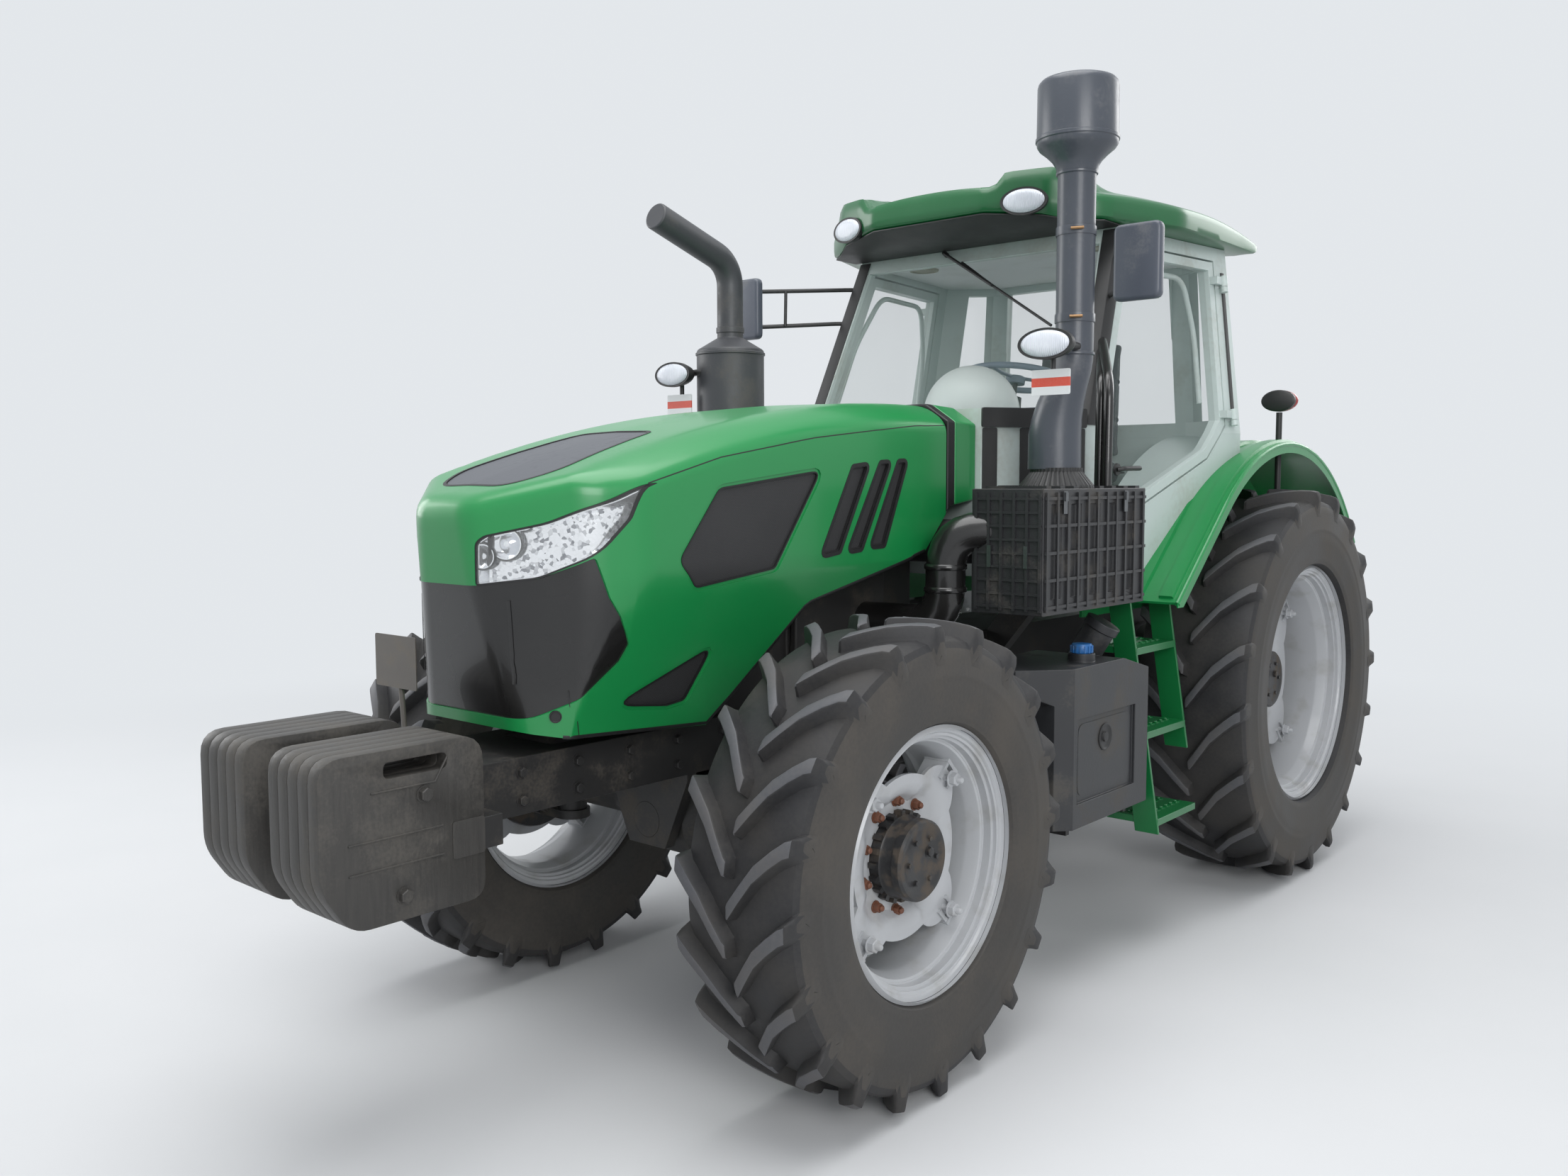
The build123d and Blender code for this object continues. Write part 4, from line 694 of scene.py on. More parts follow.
# ---------------------------------------------------------------- frame, engine and gearbox
# A cast front bolster and side rails carry the engine; behind it the clutch, gearbox
# and rear axle castings are bolted end to end and hold the tractor together.
for node, width, slot in (
    ("front_frame", 0.006, "casting_paint"), ("engine_block", 0.008, "casting_paint"),
    ("gearbox_housing", 0.010, "casting_paint"), ("rear_axle", 0.008, "casting_paint"),
    ("front_drive_shaft", 0.003, "linkage_steel"), ("drawbar", 0.005, "linkage_steel"),
):
    softened(node, width, cast_black)
flange_x, rail_x = 0.210, 0.180
flange_spots = [((sign * flange_x, fy + y, z + step * k), (sign, 0, 0)) for _, sign in sides for k in range(7)
                for y, z, step in ((0.800, 0.80, 0.065), (1.200, 0.70, 0.060))]
bolts("flange_bolts", flange_spots, 0.022, 0.014, cast_black, "casting_paint")
rail_spots = [((sign * rail_x, fy - 0.80 + 0.19 * k, z), (sign, 0, 0)) for _, sign in sides for k in range(6)
              for z in (0.87, 0.945)]
bolts("rail_bolts", rail_spots, 0.024, 0.015, cast_black, "casting_paint")

# ---------------------------------------------------------------- hitch
# Three-point linkage at the rear: rockshaft arms, lift rods, lower links and the
# turnbuckle top link, in satin black on forged steel.
link_black = worn_paint("linkage_steel", srgb(36, 37, 39), srgb(50, 50, 50), srgb(90, 84, 76), 0.45)
for node, width in (("lift_arms", 0.006), ("lift_rods", 0.003), ("lower_links", 0.004), ("top_link", 0.003)):
    softened(node, width, link_black, node)

# ---------------------------------------------------------------- ballast
# Two stacks of cast-iron slab weights hang on a carrier ahead of the bolster, each
# with a hand grip; two long bolts clamp each stack. Rough castings in black paint.


def rounded(outline, radius, steps=5):
    """An outline with each corner rounded; a corner may carry its own radius."""
    made = []
    count = len(outline)
    for k, corner in enumerate(outline):
        own = corner[2] if len(corner) > 2 else radius
        here = Vector(corner[:2])
        back = Vector(outline[k - 1][:2]) - here
        ahead = Vector(outline[(k + 1) % count][:2]) - here
        half_angle = back.angle(ahead) / 2
        reach = min(own / math.tan(half_angle), back.length * 0.49, ahead.length * 0.49)
        if reach < 0.0005:
            made.append((here.x, here.y))
            continue
        start = here + back.normalized() * reach
        end = here + ahead.normalized() * reach
        for step in range(steps + 1):
            share = step / steps
            spot = start.lerp(here, share).lerp(here.lerp(end, share), share)
            made.append((spot.x, spot.y))
    return made


def between_outlines(count):
    """Faces of a solid between two like outlines, each of a count of corners."""
    faces = [tuple(range(count)), tuple(range(count, 2 * count))]
    return faces + [(k, (k + 1) % count, count + (k + 1) % count, count + k) for k in range(count)]


def prism(outline, axis, low, high):
    """An outline filled between two planes: seen from the side, the front or above."""
    order = {"x": (2, 0, 1), "y": (0, 2, 1), "z": (0, 1, 2)}[axis]
    corners = []
    for level in (low, high):
        for first, second in outline:
            values = (first, second, level)
            corners.append(Vector([values[order[k]] for k in range(3)]))
    return corners, between_outlines(len(outline))


def rectangle(u_low, u_high, v_low, v_high, radius):
    """The outline of a rectangle with rounded corners."""
    return rounded([(u_low, v_low), (u_high, v_low), (u_high, v_high), (u_low, v_high)], radius)


def aimed(part, spot, along):
    """A part whose X axis is turned to a direction, then moved to a spot."""
    return turned_part(part, Vector(along).to_track_quat("X", "Z").to_matrix(), spot)


def part_of(mesh):
    """A mesh's corners and faces."""
    return [corner.co.copy() for corner in mesh.vertices], [tuple(face.vertices) for face in mesh.polygons]


def iron_finish():
    """Thick black paint on rough iron, streaked and dusty."""
    finish = Finish("ballast_paint", Roughness=0.62)
    clouds = finish.grain(6.0, 5.0)
    streaks = finish.grain(26.0, 4.0, (3.0, 3.0, 0.35))
    fine = finish.grain(130.0, 3.0)
    dust = finish.above(clouds * 0.7 + fine * 0.3, 0.46, 0.68)
    paint = finish.blend(streaks, srgb(44, 43, 42), srgb(66, 64, 61))
    finish.feed("Base Color", finish.blend(dust * 0.5, paint, srgb(92, 88, 82)))
    finish.feed("Roughness", dust * 0.2 + 0.52)
    finish.bump(streaks * 0.7 + fine * 0.3, 0.003, 0.45)
    return finish


def fixed(name, parts, finish, slot, sharp=40):
    """Several parts as one piece on the chassis."""
    return piece(name, *joined(parts), finish, "chassis", slot, sharp)


iron = iron_finish()
low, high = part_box("ballast_weights")
front, back = low.y, high.y
foot, top = low.z, high.z
slab_outline = [
    (front + 0.075, foot, 0.09), (front, foot + 0.115, 0.14), (front, top - 0.010, 0.06),
    (back, top - 0.010, 0.07), (back, 0.881, 0.004), (back - 0.089, 0.881, 0.01),
    (back - 0.089, 0.799, 0.01), (back, 0.799, 0.004), (back, foot, 0.05),
]
grip = rectangle(front + 0.165, front + 0.335, top - 0.078, top - 0.040, 0.016)
stack_half, stack_inner, slab_gap, slab_count = 0.282, 0.060, 0.0006, 5
slab_wide = (stack_half - stack_inner - slab_gap * (slab_count - 1)) / slab_count
slab_parts = []
for index in range(slab_count):
    start = stack_inner + index * (slab_wide + slab_gap)
    cutter = added("cutter", formed(prism(grip, "x", start - 0.01, start + slab_wide + 0.01), []))
    mesh = formed(
        prism(rounded(slab_outline, 0.04), "x", start, start + slab_wide),
        [("BOOLEAN", {"object": cutter, "operation": "DIFFERENCE"}), edged(0.0035, 2)],
    )
    bpy.data.objects.remove(cutter)
    slab_parts += [mirrored_to(part_of(mesh), sign) for sign in (1, -1)]
ballast = fixed("ballast_slabs", slab_parts, iron, "ballast_paint", 35)
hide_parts("ballast_weights")
rib_parts = []
for sign in (1, -1):
    for y0, z0, y1, z1 in (
        (front + 0.13, top - 0.105, front + 0.30, top - 0.105),
        (front + 0.30, top - 0.105, front + 0.335, top - 0.050),
        (front + 0.07, top - 0.215, front + 0.32, top - 0.215),
        (front + 0.07, top - 0.285, front + 0.32, top - 0.285),
    ):
        start, end = Vector((sign * 0.283, y0, z0)), Vector((sign * 0.283, y1, z1))
        run = end - start
        bar = spun([(0, 0.0001), (0, 0.0026), (run.length, 0.0026), (run.length, 0.0001)], 8)
        rib_parts.append(aimed(bar, start, run))
fixed("ballast_ribs", rib_parts, iron, "ballast_paint")
end_plates = []
for sign in (1, -1):
    x_low, x_high = sorted((sign * 0.2822, sign * 0.2838))
    end_plates.append(prism(rectangle(back - 0.094, back - 0.001, 0.794, 0.886, 0.008), "x", x_low, x_high))
fixed("ballast_end_plates", end_plates, iron, "ballast_paint")
clamp_spots = [((sign * stack_half, y, z), (sign, 0, 0)) for _, sign in sides
               for y, z in ((back - 0.17, top - 0.13), (back - 0.23, foot + 0.06))]
bolts("ballast_bolts", clamp_spots, 0.030, 0.018, iron, "ballast_paint")

# ---------------------------------------------------------------- hood
# A one-piece tilting hood pressed from sheet, gloss green over primer. Its walls
# lean in below a waist crease, and its shoulders roll over into a gently arched top.
nose = fy - 0.912
split = fy + 0.853
cowl_rear = fy + 1.005
hood_long = split - nose
hood_wide = 0.420
waist = 1.45


def hood_y(share):
    """A place along the hood, from 0 at its nose to 1 at its rear edge."""
    return nose + share * hood_long


def crest_z(y):
    """Height of the hood's centre line, on an arc from the nose to the cowl's rear."""
    (y0, z0), (y1, z1), (y2, z2) = (nose, 1.658), (hood_y(0.46), 1.893), (cowl_rear, 1.965)
    a = y0 * (z1 - z2) - z0 * (y1 - y2) + y1 * z2 - y2 * z1
    b = (y0 ** 2 + z0 ** 2) * (z2 - z1) + (y1 ** 2 + z1 ** 2) * (z0 - z2) + (y2 ** 2 + z2 ** 2) * (z1 - z0)
    c = (y0 ** 2 + z0 ** 2) * (y1 - y2) + (y1 ** 2 + z1 ** 2) * (y2 - y0) + (y2 ** 2 + z2 ** 2) * (y0 - y1)
    mid_y, mid_z = -b / (2 * a), -c / (2 * a)
    radius = math.hypot(y0 - mid_y, z0 - mid_z)
    return mid_z + math.sqrt(radius ** 2 - (y - mid_y) ** 2)


def crown_drop(x):
    """How far the top lies under its centre line, off to one side."""
    middle, half, flat, steep = 0.325, 0.045, 0.0215, 0.653
    over = max(0.0, abs(x) - (middle - half))
    if over < 2 * half:
        return flat * abs(x) + (steep - flat) * over ** 2 / (4 * half)
    return flat * abs(x) + (steep - flat) * (over - half)


def hood_top(x, y):
    """Height of the hood's top at any place."""
    return crest_z(y) - crown_drop(x)


def along_line(points, at):
    """The height of a line through points, at a place along it."""
    for (a, p), (b, q) in zip(points, points[1:]):
        if a <= at <= b:
            return p + (q - p) * (at - a) / (b - a)
    return points[0][1] if at < points[0][0] else points[-1][1]


nose_lean = ((1.060, 0.079), (1.442, 0.016), (1.600, 0.000))
hood_foot = (
    (hood_y(0.045), 1.060), (hood_y(0.088), 1.040), (hood_y(0.392), 1.000), (hood_y(0.587), 1.337),
    (hood_y(0.913), 1.470), (split - 0.003, 1.620), (cowl_rear, 1.640),
)
side_stations = sorted(
    {hood_y(0.30 + 0.0233 * k) for k in range(31)} | {y for y, _ in hood_foot[2:]}
)


def hood_plan(z):
    """The left half of the hood from above at one height, from the nose's middle back."""
    lean = along_line(nose_lean, z)
    corner = 0.113 + lean * 0.247 / 0.212
    line = [(0, nose + lean, 0), (corner, nose + lean, 0.13), (0.360, nose + 0.212, 0.22),
            (hood_wide, nose + 0.356, 0.20), (hood_wide, hood_y(0.29), 0)]
    line = rounded(line, 0, 9) + [(hood_wide, y) for y in side_stations]
    limit = hood_wide - 0.289 * max(0.0, waist - z)
    tuck = 0.004
    made = []
    for x, y in line:
        over = x - limit
        made.append((x - (over + math.hypot(over, tuck)) / 2, y))
    return made


def hood_skin():
    """The hood's outer face, foot to crown, as rows of corners for the left half."""
    foot_plan = hood_plan(1.06)
    columns = []
    for index, (_, y) in enumerate(foot_plan):
        top_x, top_y = hood_plan(1.65)[index]
        roll = 0.050 if top_y < nose + 0.10 else 0.040
        edge_z = hood_top(top_x, top_y)
        foot = along_line(hood_foot, y)
        belt = max(waist, foot + 0.01)
        column = []
        for start, end in ((foot, belt), (belt, edge_z - roll)):
            for share in range(7):
                z = start + (end - start) * share / 7
                column.append((*hood_plan(z)[index], z))
        spine_y = max(top_y, nose + 0.20 + (top_y - nose) * 0.5556)
        inward = (Vector((0, spine_y)) - Vector((top_x, top_y))).normalized()
        inner = Vector((top_x, top_y)) + inward * roll
        low = Vector((top_x, top_y, edge_z - roll))
        peak = Vector((top_x, top_y, edge_z))
        inside = Vector((inner.x, inner.y, hood_top(inner.x, inner.y)))
        for share in (0.0, 0.16, 0.32, 0.5, 0.68, 0.84, 1.0):
            column.append(tuple(low.lerp(peak, share).lerp(peak.lerp(inside, share), share)))
        for share in (0.05, 0.10, 0.16, 0.22, 0.30, 0.42, 0.56, 0.72, 0.86, 1.0):
            spot = inner.lerp(Vector((0, spine_y)), share)
            column.append((spot.x, spot.y, hood_top(spot.x, spot.y)))
        columns.append(column)
    return columns


def skin_mesh():
    """Both halves of the hood's outer face, joined, with their normals."""
    form = bmesh.new()
    for sign in (1, -1):
        rows = [[form.verts.new((sign * x, y, z)) for x, y, z in column] for column in hood_skin()]
        for first, second in zip(rows, rows[1:]):
            for k in range(len(first) - 1):
                face = (first[k], second[k], second[k + 1], first[k + 1])
                form.faces.new(face if sign > 0 else tuple(reversed(face)))
    bmesh.ops.remove_doubles(form, verts=form.verts, dist=0.0004)
    bmesh.ops.dissolve_degenerate(form, edges=form.edges, dist=0.0002)
    bmesh.ops.recalc_face_normals(form, faces=form.faces)
    if sum(face.normal.z * face.calc_area() for face in form.faces) < 0:
        bmesh.ops.reverse_faces(form, faces=form.faces)
    form.normal_update()
    form.verts.index_update()
    points = [corner.co.copy() for corner in form.verts]
    normals = [corner.normal.copy() for corner in form.verts]
    faces = [[corner.index for corner in face.verts] for face in form.faces]
    rims = [tuple(corner.index for corner in edge.verts) for edge in form.edges if edge.is_boundary]
    form.free()
    return points, normals, faces, rims


skin_points, skin_normals, skin_faces, skin_rims = skin_mesh()
skin_tree = BVHTree.FromPolygons(skin_points, skin_faces)


def skin_at(place):
    """The nearest point of the hood's skin, and the way it faces there."""
    spot, _, index, _ = skin_tree.find_nearest(place)
    loop = skin_faces[index]
    shares = poly_3d_calc([skin_points[k] for k in loop], spot)
    facing = Vector((0, 0, 0))
    for k, share in zip(loop, shares):
        facing += skin_normals[k] * share
    return spot, facing.normalized()


def hood_layer(depth, thick, modifiers=()):
    """A wall of the hood's form, from a depth under its skin."""
    count = len(skin_points)
    corners = [p - n * depth for p, n in zip(skin_points, skin_normals)]
    corners += [p - n * (depth + thick) for p, n in zip(skin_points, skin_normals)]
    faces = [tuple(face) for face in skin_faces]
    faces += [tuple(index + count for index in reversed(face)) for face in skin_faces]
    faces += [(a, b, b + count, a + count) for a, b in skin_rims]
    return formed((corners, faces), list(modifiers))


def skin_shaded(mesh):
    """Takes the skin's normals, so that cut openings leave no marks in the gloss."""
    normals = []
    for face in mesh.polygons:
        for loop in face.loop_indices:
            _, facing = skin_at(mesh.vertices[mesh.loops[loop].vertex_index].co)
            match = face.normal.dot(facing)
            if abs(match) > 0.86:
                normals.append(facing * math.copysign(1.0, match))
            else:
                normals.append(face.normal.copy())
    mesh.normals_split_custom_set(normals)


def cutter_from(parts):
    """A hidden solid to cut or keep with."""
    return added("cutter", formed(joined(parts), []))


def boolean(operand, operation):
    """A cut or an overlap with another solid, as a modifier."""
    return ("BOOLEAN", {"object": operand, "operation": operation, "solver": "MANIFOLD"})


def green_finish(name, paint, scale=3.0):
    """Gloss green under lacquer, with an even orange-peel and a little road dust."""
    finish = Finish(name, Roughness=0.40, Coat_Weight=0.28, Coat_Roughness=0.14)
    clouds = finish.grain(scale, 4.0)
    fine = finish.grain(90.0, 3.0)
    dust = finish.above(clouds * 0.7 + fine * 0.3, 0.50, 0.78)
    finish.feed("Base Color", finish.blend(dust * 0.04, paint, srgb(120, 150, 128)))
    finish.feed("Roughness", dust * 0.12 + 0.34)
    finish.bump(finish.grain(320.0, 2.0), 0.0002, 0.10)
    return finish


def mesh_finish():
    """Fine perforated black sheet: staggered round holes, with painted shade in them."""
    finish = Finish("mesh_black", Roughness=0.42)
    rows = []
    for shift in (0.0, math.pi):
        along, up = [(finish.axis(letter) * 1250.0 + shift).maths("COSINE") for letter in ("Y", "Z")]
        rows.append(along + up)
    high = rows[0].maths("MAXIMUM", rows[1])
    hole = finish.above(high, 0.4, 1.3)
    clouds = finish.grain(8.0, 4.0)
    sheet = finish.blend(clouds, srgb(44, 44, 46), srgb(56, 56, 57))
    # Painted shade: the holes are coloured near black for the dark space seen through them.
    finish.feed("Base Color", finish.blend(hole * 0.7, sheet, srgb(20, 20, 21)))
    finish.feed("Roughness", hole * 0.3 + 0.40)
    finish.bump(1.0 - hole, 0.0008, 0.4)
    return finish


def gloss_black_finish():
    """Moulded black plastic with a soft gloss and a film of dust in soft patches."""
    finish = Finish("grille_black", Roughness=0.24, Coat_Weight=0.3)
    film = finish.grain(4.0, 4.0)
    finish.feed("Base Color", finish.blend(film, srgb(19, 19, 20), srgb(32, 31, 30)))
    finish.feed("Roughness", film * 0.18 + 0.18)
    finish.bump(finish.grain(200.0, 2.0), 0.0002, 0.15)
    return finish


hood_green = green_finish("hood_green", srgb(22, 132, 68))
mesh_black = mesh_finish()
gloss_black = gloss_black_finish()
insert_grey = worn_paint("insert_grey", srgb(70, 73, 80), srgb(76, 79, 86), srgb(92, 94, 98), 0.42, 3.0)
gasket = speckled("gasket", 80.0, srgb(16, 16, 17), srgb(28, 28, 29), Roughness=0.5)

side_windows = (
    # share of the hood's length and height at each corner, with each corner's radius
    ((0.266, 1.492, 0.03), (0.355, 1.686, 0.05), (0.606, 1.738, 0.02), (0.485, 1.452, 0.03),
     (0.306, 1.414, 0.03)),
    ((0.607, 1.482, 0.01), (0.693, 1.747, 0.01), (0.735, 1.755, 0.01), (0.653, 1.492, 0.01)),
    ((0.681, 1.490, 0.01), (0.773, 1.761, 0.01), (0.800, 1.764, 0.01), (0.715, 1.495, 0.01)),
    ((0.746, 1.500, 0.01), (0.828, 1.766, 0.01), (0.851, 1.768, 0.01), (0.783, 1.502, 0.01)),
    ((0.372, 1.241, 0.02), (0.177, 1.108, 0.02), (0.293, 1.082, 0.02), (0.330, 1.090, 0.02)),
)


def shrunk(outline, gap):
    """A closed outline moved inward by a gap."""
    area = sum(a[0] * b[1] - b[0] * a[1] for a, b in zip(outline, outline[1:] + outline[:1]))
    sign = 1 if area > 0 else -1
    made = []
    for k, here in enumerate(outline):
        back, ahead = outline[k - 1], outline[(k + 1) % len(outline)]
        into = Vector((here[0] - back[0], here[1] - back[1])).normalized()
        out = Vector((ahead[0] - here[0], ahead[1] - here[1])).normalized()
        normal = (Vector((-into.y, into.x)) + Vector((-out.y, out.x))) * sign
        bend = max(0.35, (1 + into.dot(out)) / 2)
        spot = Vector(here[:2]) + normal / 2 / bend * gap
        made.append((spot.x, spot.y))
    return made


def side_prisms(gap, windows=side_windows):
    """Prisms through both sides at the windows, drawn in by a gap."""
    parts = []
    for window in windows:
        outline = rounded([(hood_y(corner[0]), *corner[1:]) for corner in window], 0.01)
        outline = shrunk(outline, gap)
        for low_x, high_x in ((0.16, 0.60), (-0.60, -0.16)):
            parts.append(prism(outline, "x", low_x, high_x))
    return parts


grille_outline = rounded(
    [(nose - 0.1, 1.436), (nose + 0.013, 1.437), (-1.996, 1.456), (-1.893, 1.511, 0.01),
     (-1.861, 1.405, 0.05), (-1.790, 1.277, 0.012), (-1.812, 1.234, 0.012), (-1.915, 1.150, 0.12),
     (-2.010, 1.092, 0.10), (nose - 0.1, 1.088)], 0.01)
lamp_outline = rounded(
    [(0.122, 1.436, 0.010), (0.254, 1.455, 0.10), (0.367, 1.513, 0.10), (0.402, 1.608, 0.10),
     (0.4175, 1.706, 0.003), (0.373, 1.652, 0.10), (0.270, 1.600, 0.20), (0.150, 1.568, 0.03),
     (0.128, 1.550, 0.03)], 0.01)


def both_halves(half):
    """An outline's left half, then its mirror image back to the start."""
    return list(half) + [(-x, *rest) for x, *rest in reversed(half)]


insert_half = ((0.140, hood_y(0.060), 0.10), (0.215, hood_y(0.125), 0.16), (0.155, hood_y(0.352), 0.05))
insert_outline = rounded(both_halves(insert_half), 0.01)


def grille_prisms(gap):
    """A prism across the nose at the grille's side outline."""
    return [prism(shrunk(grille_outline, gap), "x", -0.6, 0.6)]


def lamp_prisms(gap):
    """Prisms back through the nose at both headlamps' front outline."""
    outline = shrunk(lamp_outline, gap)
    return [prism([(side * x, z) for x, z in outline], "y", nose - 0.1, hood_y(0.233)) for side in (1, -1)]


def insert_prisms(gap):
    """A prism up through the hood's top at the insert's outline."""
    return [prism(shrunk(insert_outline, gap), "z", 1.55, 2.2)]


def hood_panel(name, outer, inner, depth, thick, finish, sharp=32):
    """A panel of the hood's own form inside one set of prisms, less another."""
    operands = [cutter_from(outer)] + ([cutter_from(inner)] if inner else [])
    steps = [boolean(operand, operation) for operand, operation in zip(operands, ("INTERSECT", "DIFFERENCE"))]
    mesh = hood_layer(depth, thick, steps)
    for operand in operands:
        bpy.data.objects.remove(operand)
    thing = settled(name, mesh, finish, "hood", sharp)
    skin_shaded(mesh)
    return thing


flange = 0.011
zone = cutter_from([slab((-0.6, nose - 0.1, 0.5), (0.6, split - 0.030, 2.3))])
openings = [cutter_from(side_prisms(-flange)), cutter_from(grille_prisms(0)),
            cutter_from(lamp_prisms(0)), cutter_from(insert_prisms(-0.004))]
hood_mesh = hood_layer(
    0.0, 0.010, [boolean(zone, "INTERSECT")] + [boolean(opening, "DIFFERENCE") for opening in openings])
for cutter in [zone] + openings:
    bpy.data.objects.remove(cutter)
hood = settled("hood_pressing", hood_mesh, hood_green, "hood", 32)
skin_shaded(hood_mesh)
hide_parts("hood_shell")

# ---------------------------------------------------------------- hood panels and grille
# Black mesh panels sit in pressed recesses along the sides; a grey plate fills the
# top behind the nose, and a smooth black grille moulding closes the front.
hood_panel("window_flanges", side_prisms(-flange - 0.002), side_prisms(0), 0.0045, 0.004,
           hood_green)
vents = hood_panel("side_meshes", side_prisms(-0.004), [], 0.010, 0.004, mesh_black)
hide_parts("hood_vents")
insert = hood_panel("top_insert", insert_prisms(0.0006), [], 0.0015, 0.006, insert_grey)
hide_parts("hood_vents")
grille = hood_panel("grille_sheet", grille_prisms(0.0005), [], 0.005, 0.008, gloss_black)
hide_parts("grille")


def gasket_panels(table):
    """Rubber strips between a wider and a narrower run of the same prisms."""
    for name, prisms, wider, narrower, depth, thick in table:
        hood_panel(name, prisms(wider), prisms(narrower), depth, thick, gasket)


gasket_panels((
    ("side_gaskets", side_prisms, -0.0012, 0.0035, 0.0025, 0.008),
    ("top_gasket", insert_prisms, -0.0036, 0.0040, 0.0012, 0.008),
    ("lamp_gaskets", lamp_prisms, 0.0003, 0.0050, 0.0010, 0.012),
))


def skin_strip(name, places, wide, proud, finish, body, slot):
    """A narrow moulding that follows the hood's skin through a few places."""
    spots = []
    for first, second in zip(places, places[1:]):
        steps = max(2, int((Vector(second) - Vector(first)).length / 0.02))
        spots += [Vector(first).lerp(Vector(second), k / steps) for k in range(steps)]
    spots.append(Vector(places[-1]))
    laid = [skin_at(spot) for spot in spots]
    section = ((1.0, -0.002), (1.0, proud * 0.5), (0.5, proud),
               (-0.5, proud), (-1.0, proud * 0.5), (-1.0, -0.002))
    corners = []
    for k, (spot, facing) in enumerate(laid):
        run = laid[min(k + 1, len(laid) - 1)][0] - laid[max(k - 1, 0)][0]
        across = facing.cross(run).normalized() * wide / 2
        corners += [spot + across * shift + facing * rise for shift, rise in section]
    return piece(name, corners, between_rings(len(laid), len(section)), finish, body, slot, 50)


# The black ribbons on the shoulder seam and the nose joint are painted shade: a dark line for the groove of
# each joint, in place of a cut groove.
for side, sign in sides:
    seam = [(sign * 0.42, y, z) for y, z in ((nose + 0.360, 1.702), (-1.483, 1.773), (-1.082, 1.835),
                                              (-0.567, 1.888), (split - 0.034, 1.898))]
    skin_strip(f"shoulder_seam_shade_{side}", seam, 0.0035, 0.0003, gasket, "hood", "seal_rubber")
    chin = [(sign * 0.31, hood_y(0.095), 1.165), (sign * 0.29, hood_y(0.118), 1.045)]
    skin_strip(f"nose_joint_shade_{side}", chin, 0.003, 0.0003, gasket, "hood", "seal_rubber")
    hem = [(sign * 0.30, y, z + 0.004) for y, z in hood_foot[1:5]]
    skin_strip(f"skirt_edge_{side}", hem, 0.010, 0.0020, gasket, "hood", "seal_rubber")


def slot_prisms(gap):
    """Prisms at the three slots beside each side mesh."""
    return side_prisms(gap, side_windows[1:4])


# The slot frames are partly black trim and partly painted shade: they widen the dark of the slots as if the
# openings were larger.
gasket_panels((
    ("insert_border", insert_prisms, -0.009, 0.0005, -0.0012, 0.0022),
    ("slot_frames_and_shade", slot_prisms, -0.012, 0.0005, -0.0012, 0.0022),
))
latch_parts = []
for side, sign in sides:
    spot, facing = skin_at(Vector((sign * 0.30, hood_y(0.072), 1.094)))
    dish = spun([(0.0034, 0.0001), (0.0034, 0.012), (0.0048, 0.0135), (0.0048, 0.016), (-0.006, 0.017)], 24)
    latch_parts.append(aimed(dish, spot, facing))
piece("hood_latches", *joined(latch_parts), gasket, "hood", "seal_rubber", 40)
grille_rib = [(0.255, nose, 1.400), (0.262, nose, 1.300), (0.255, nose, 1.180)]
for side, sign in sides:
    skin_strip(f"grille_rib_{side}", [(sign * x, y, z) for x, y, z in grille_rib], 0.010, -0.001,
               gloss_black, "hood", "mesh_black")

# ---------------------------------------------------------------- headlamps
# Moulded headlamp units in the hood's corners: chrome bowls and stepped reflectors
# round a black divider, behind a clear polycarbonate cover flush with the sheet.


def chrome_finish():
    """Vacuum-plated plastic with stepped facets: a bump per cell, and a painted reflection where bright white
    and dark grey cells stand for facets catching and missing the light.
    """
    finish = Finish("chrome", Metallic=0.9, Roughness=0.14)
    cells = {"Vector": finish.position(), "Scale": 110.0}
    spots = finish.node("ShaderNodeTexVoronoi", {"feature": "F1"}, cells, output=1)
    shade = finish.node("ShaderNodeSeparateXYZ", values=[spots], output="X")
    # Painted reflection: dark grey cells among bright white ones stand for facets that miss the light.
    deep = finish.above(shade, 0.60, 1.0)
    finish.feed("Base Color", finish.blend(deep, srgb(250, 251, 253), srgb(128, 130, 136)))
    finish.bump(shade, 0.014, 0.7)
    return finish


lens = speckled("lamp_lens", 40.0, srgb(236, 242, 244), srgb(248, 250, 250),
                Roughness=0.03, IOR=1.45, Alpha=0.07, Coat_Weight=0.6)
chrome = chrome_finish()
cover = hood_panel("headlamp_covers", lamp_prisms(0.0048), [], 0.0015, 0.003, lens)
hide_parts("headlamps")
bowl = hood_panel("headlamp_bowls", lamp_prisms(0.0005), [], 0.034, 0.004, chrome)
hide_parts("headlamps")
plated = speckled("plated_rim", 30.0, srgb(250, 251, 252), srgb(226, 228, 232),
                  Metallic=0.9, Roughness=0.10)
hood_panel("headlamp_rims", lamp_prisms(0.0010), lamp_prisms(0.0070), 0.006, 0.030, plated)


def lamp_cup(spot, facing, radius, deep):
    """A round reflector with a bulb in its middle."""
    rows = [(0.0, radius), (0.0, radius - 0.003)]
    rows += [(deep * (1 - (share / 6) ** 2), (radius - 0.003) * share / 6) for share in (5, 4, 3, 2, 1)]
    rows += [(deep * 0.35, 0.0075), (deep * 0.30, 0.0001)]
    return aimed(spun(rows, 28), spot, -facing)


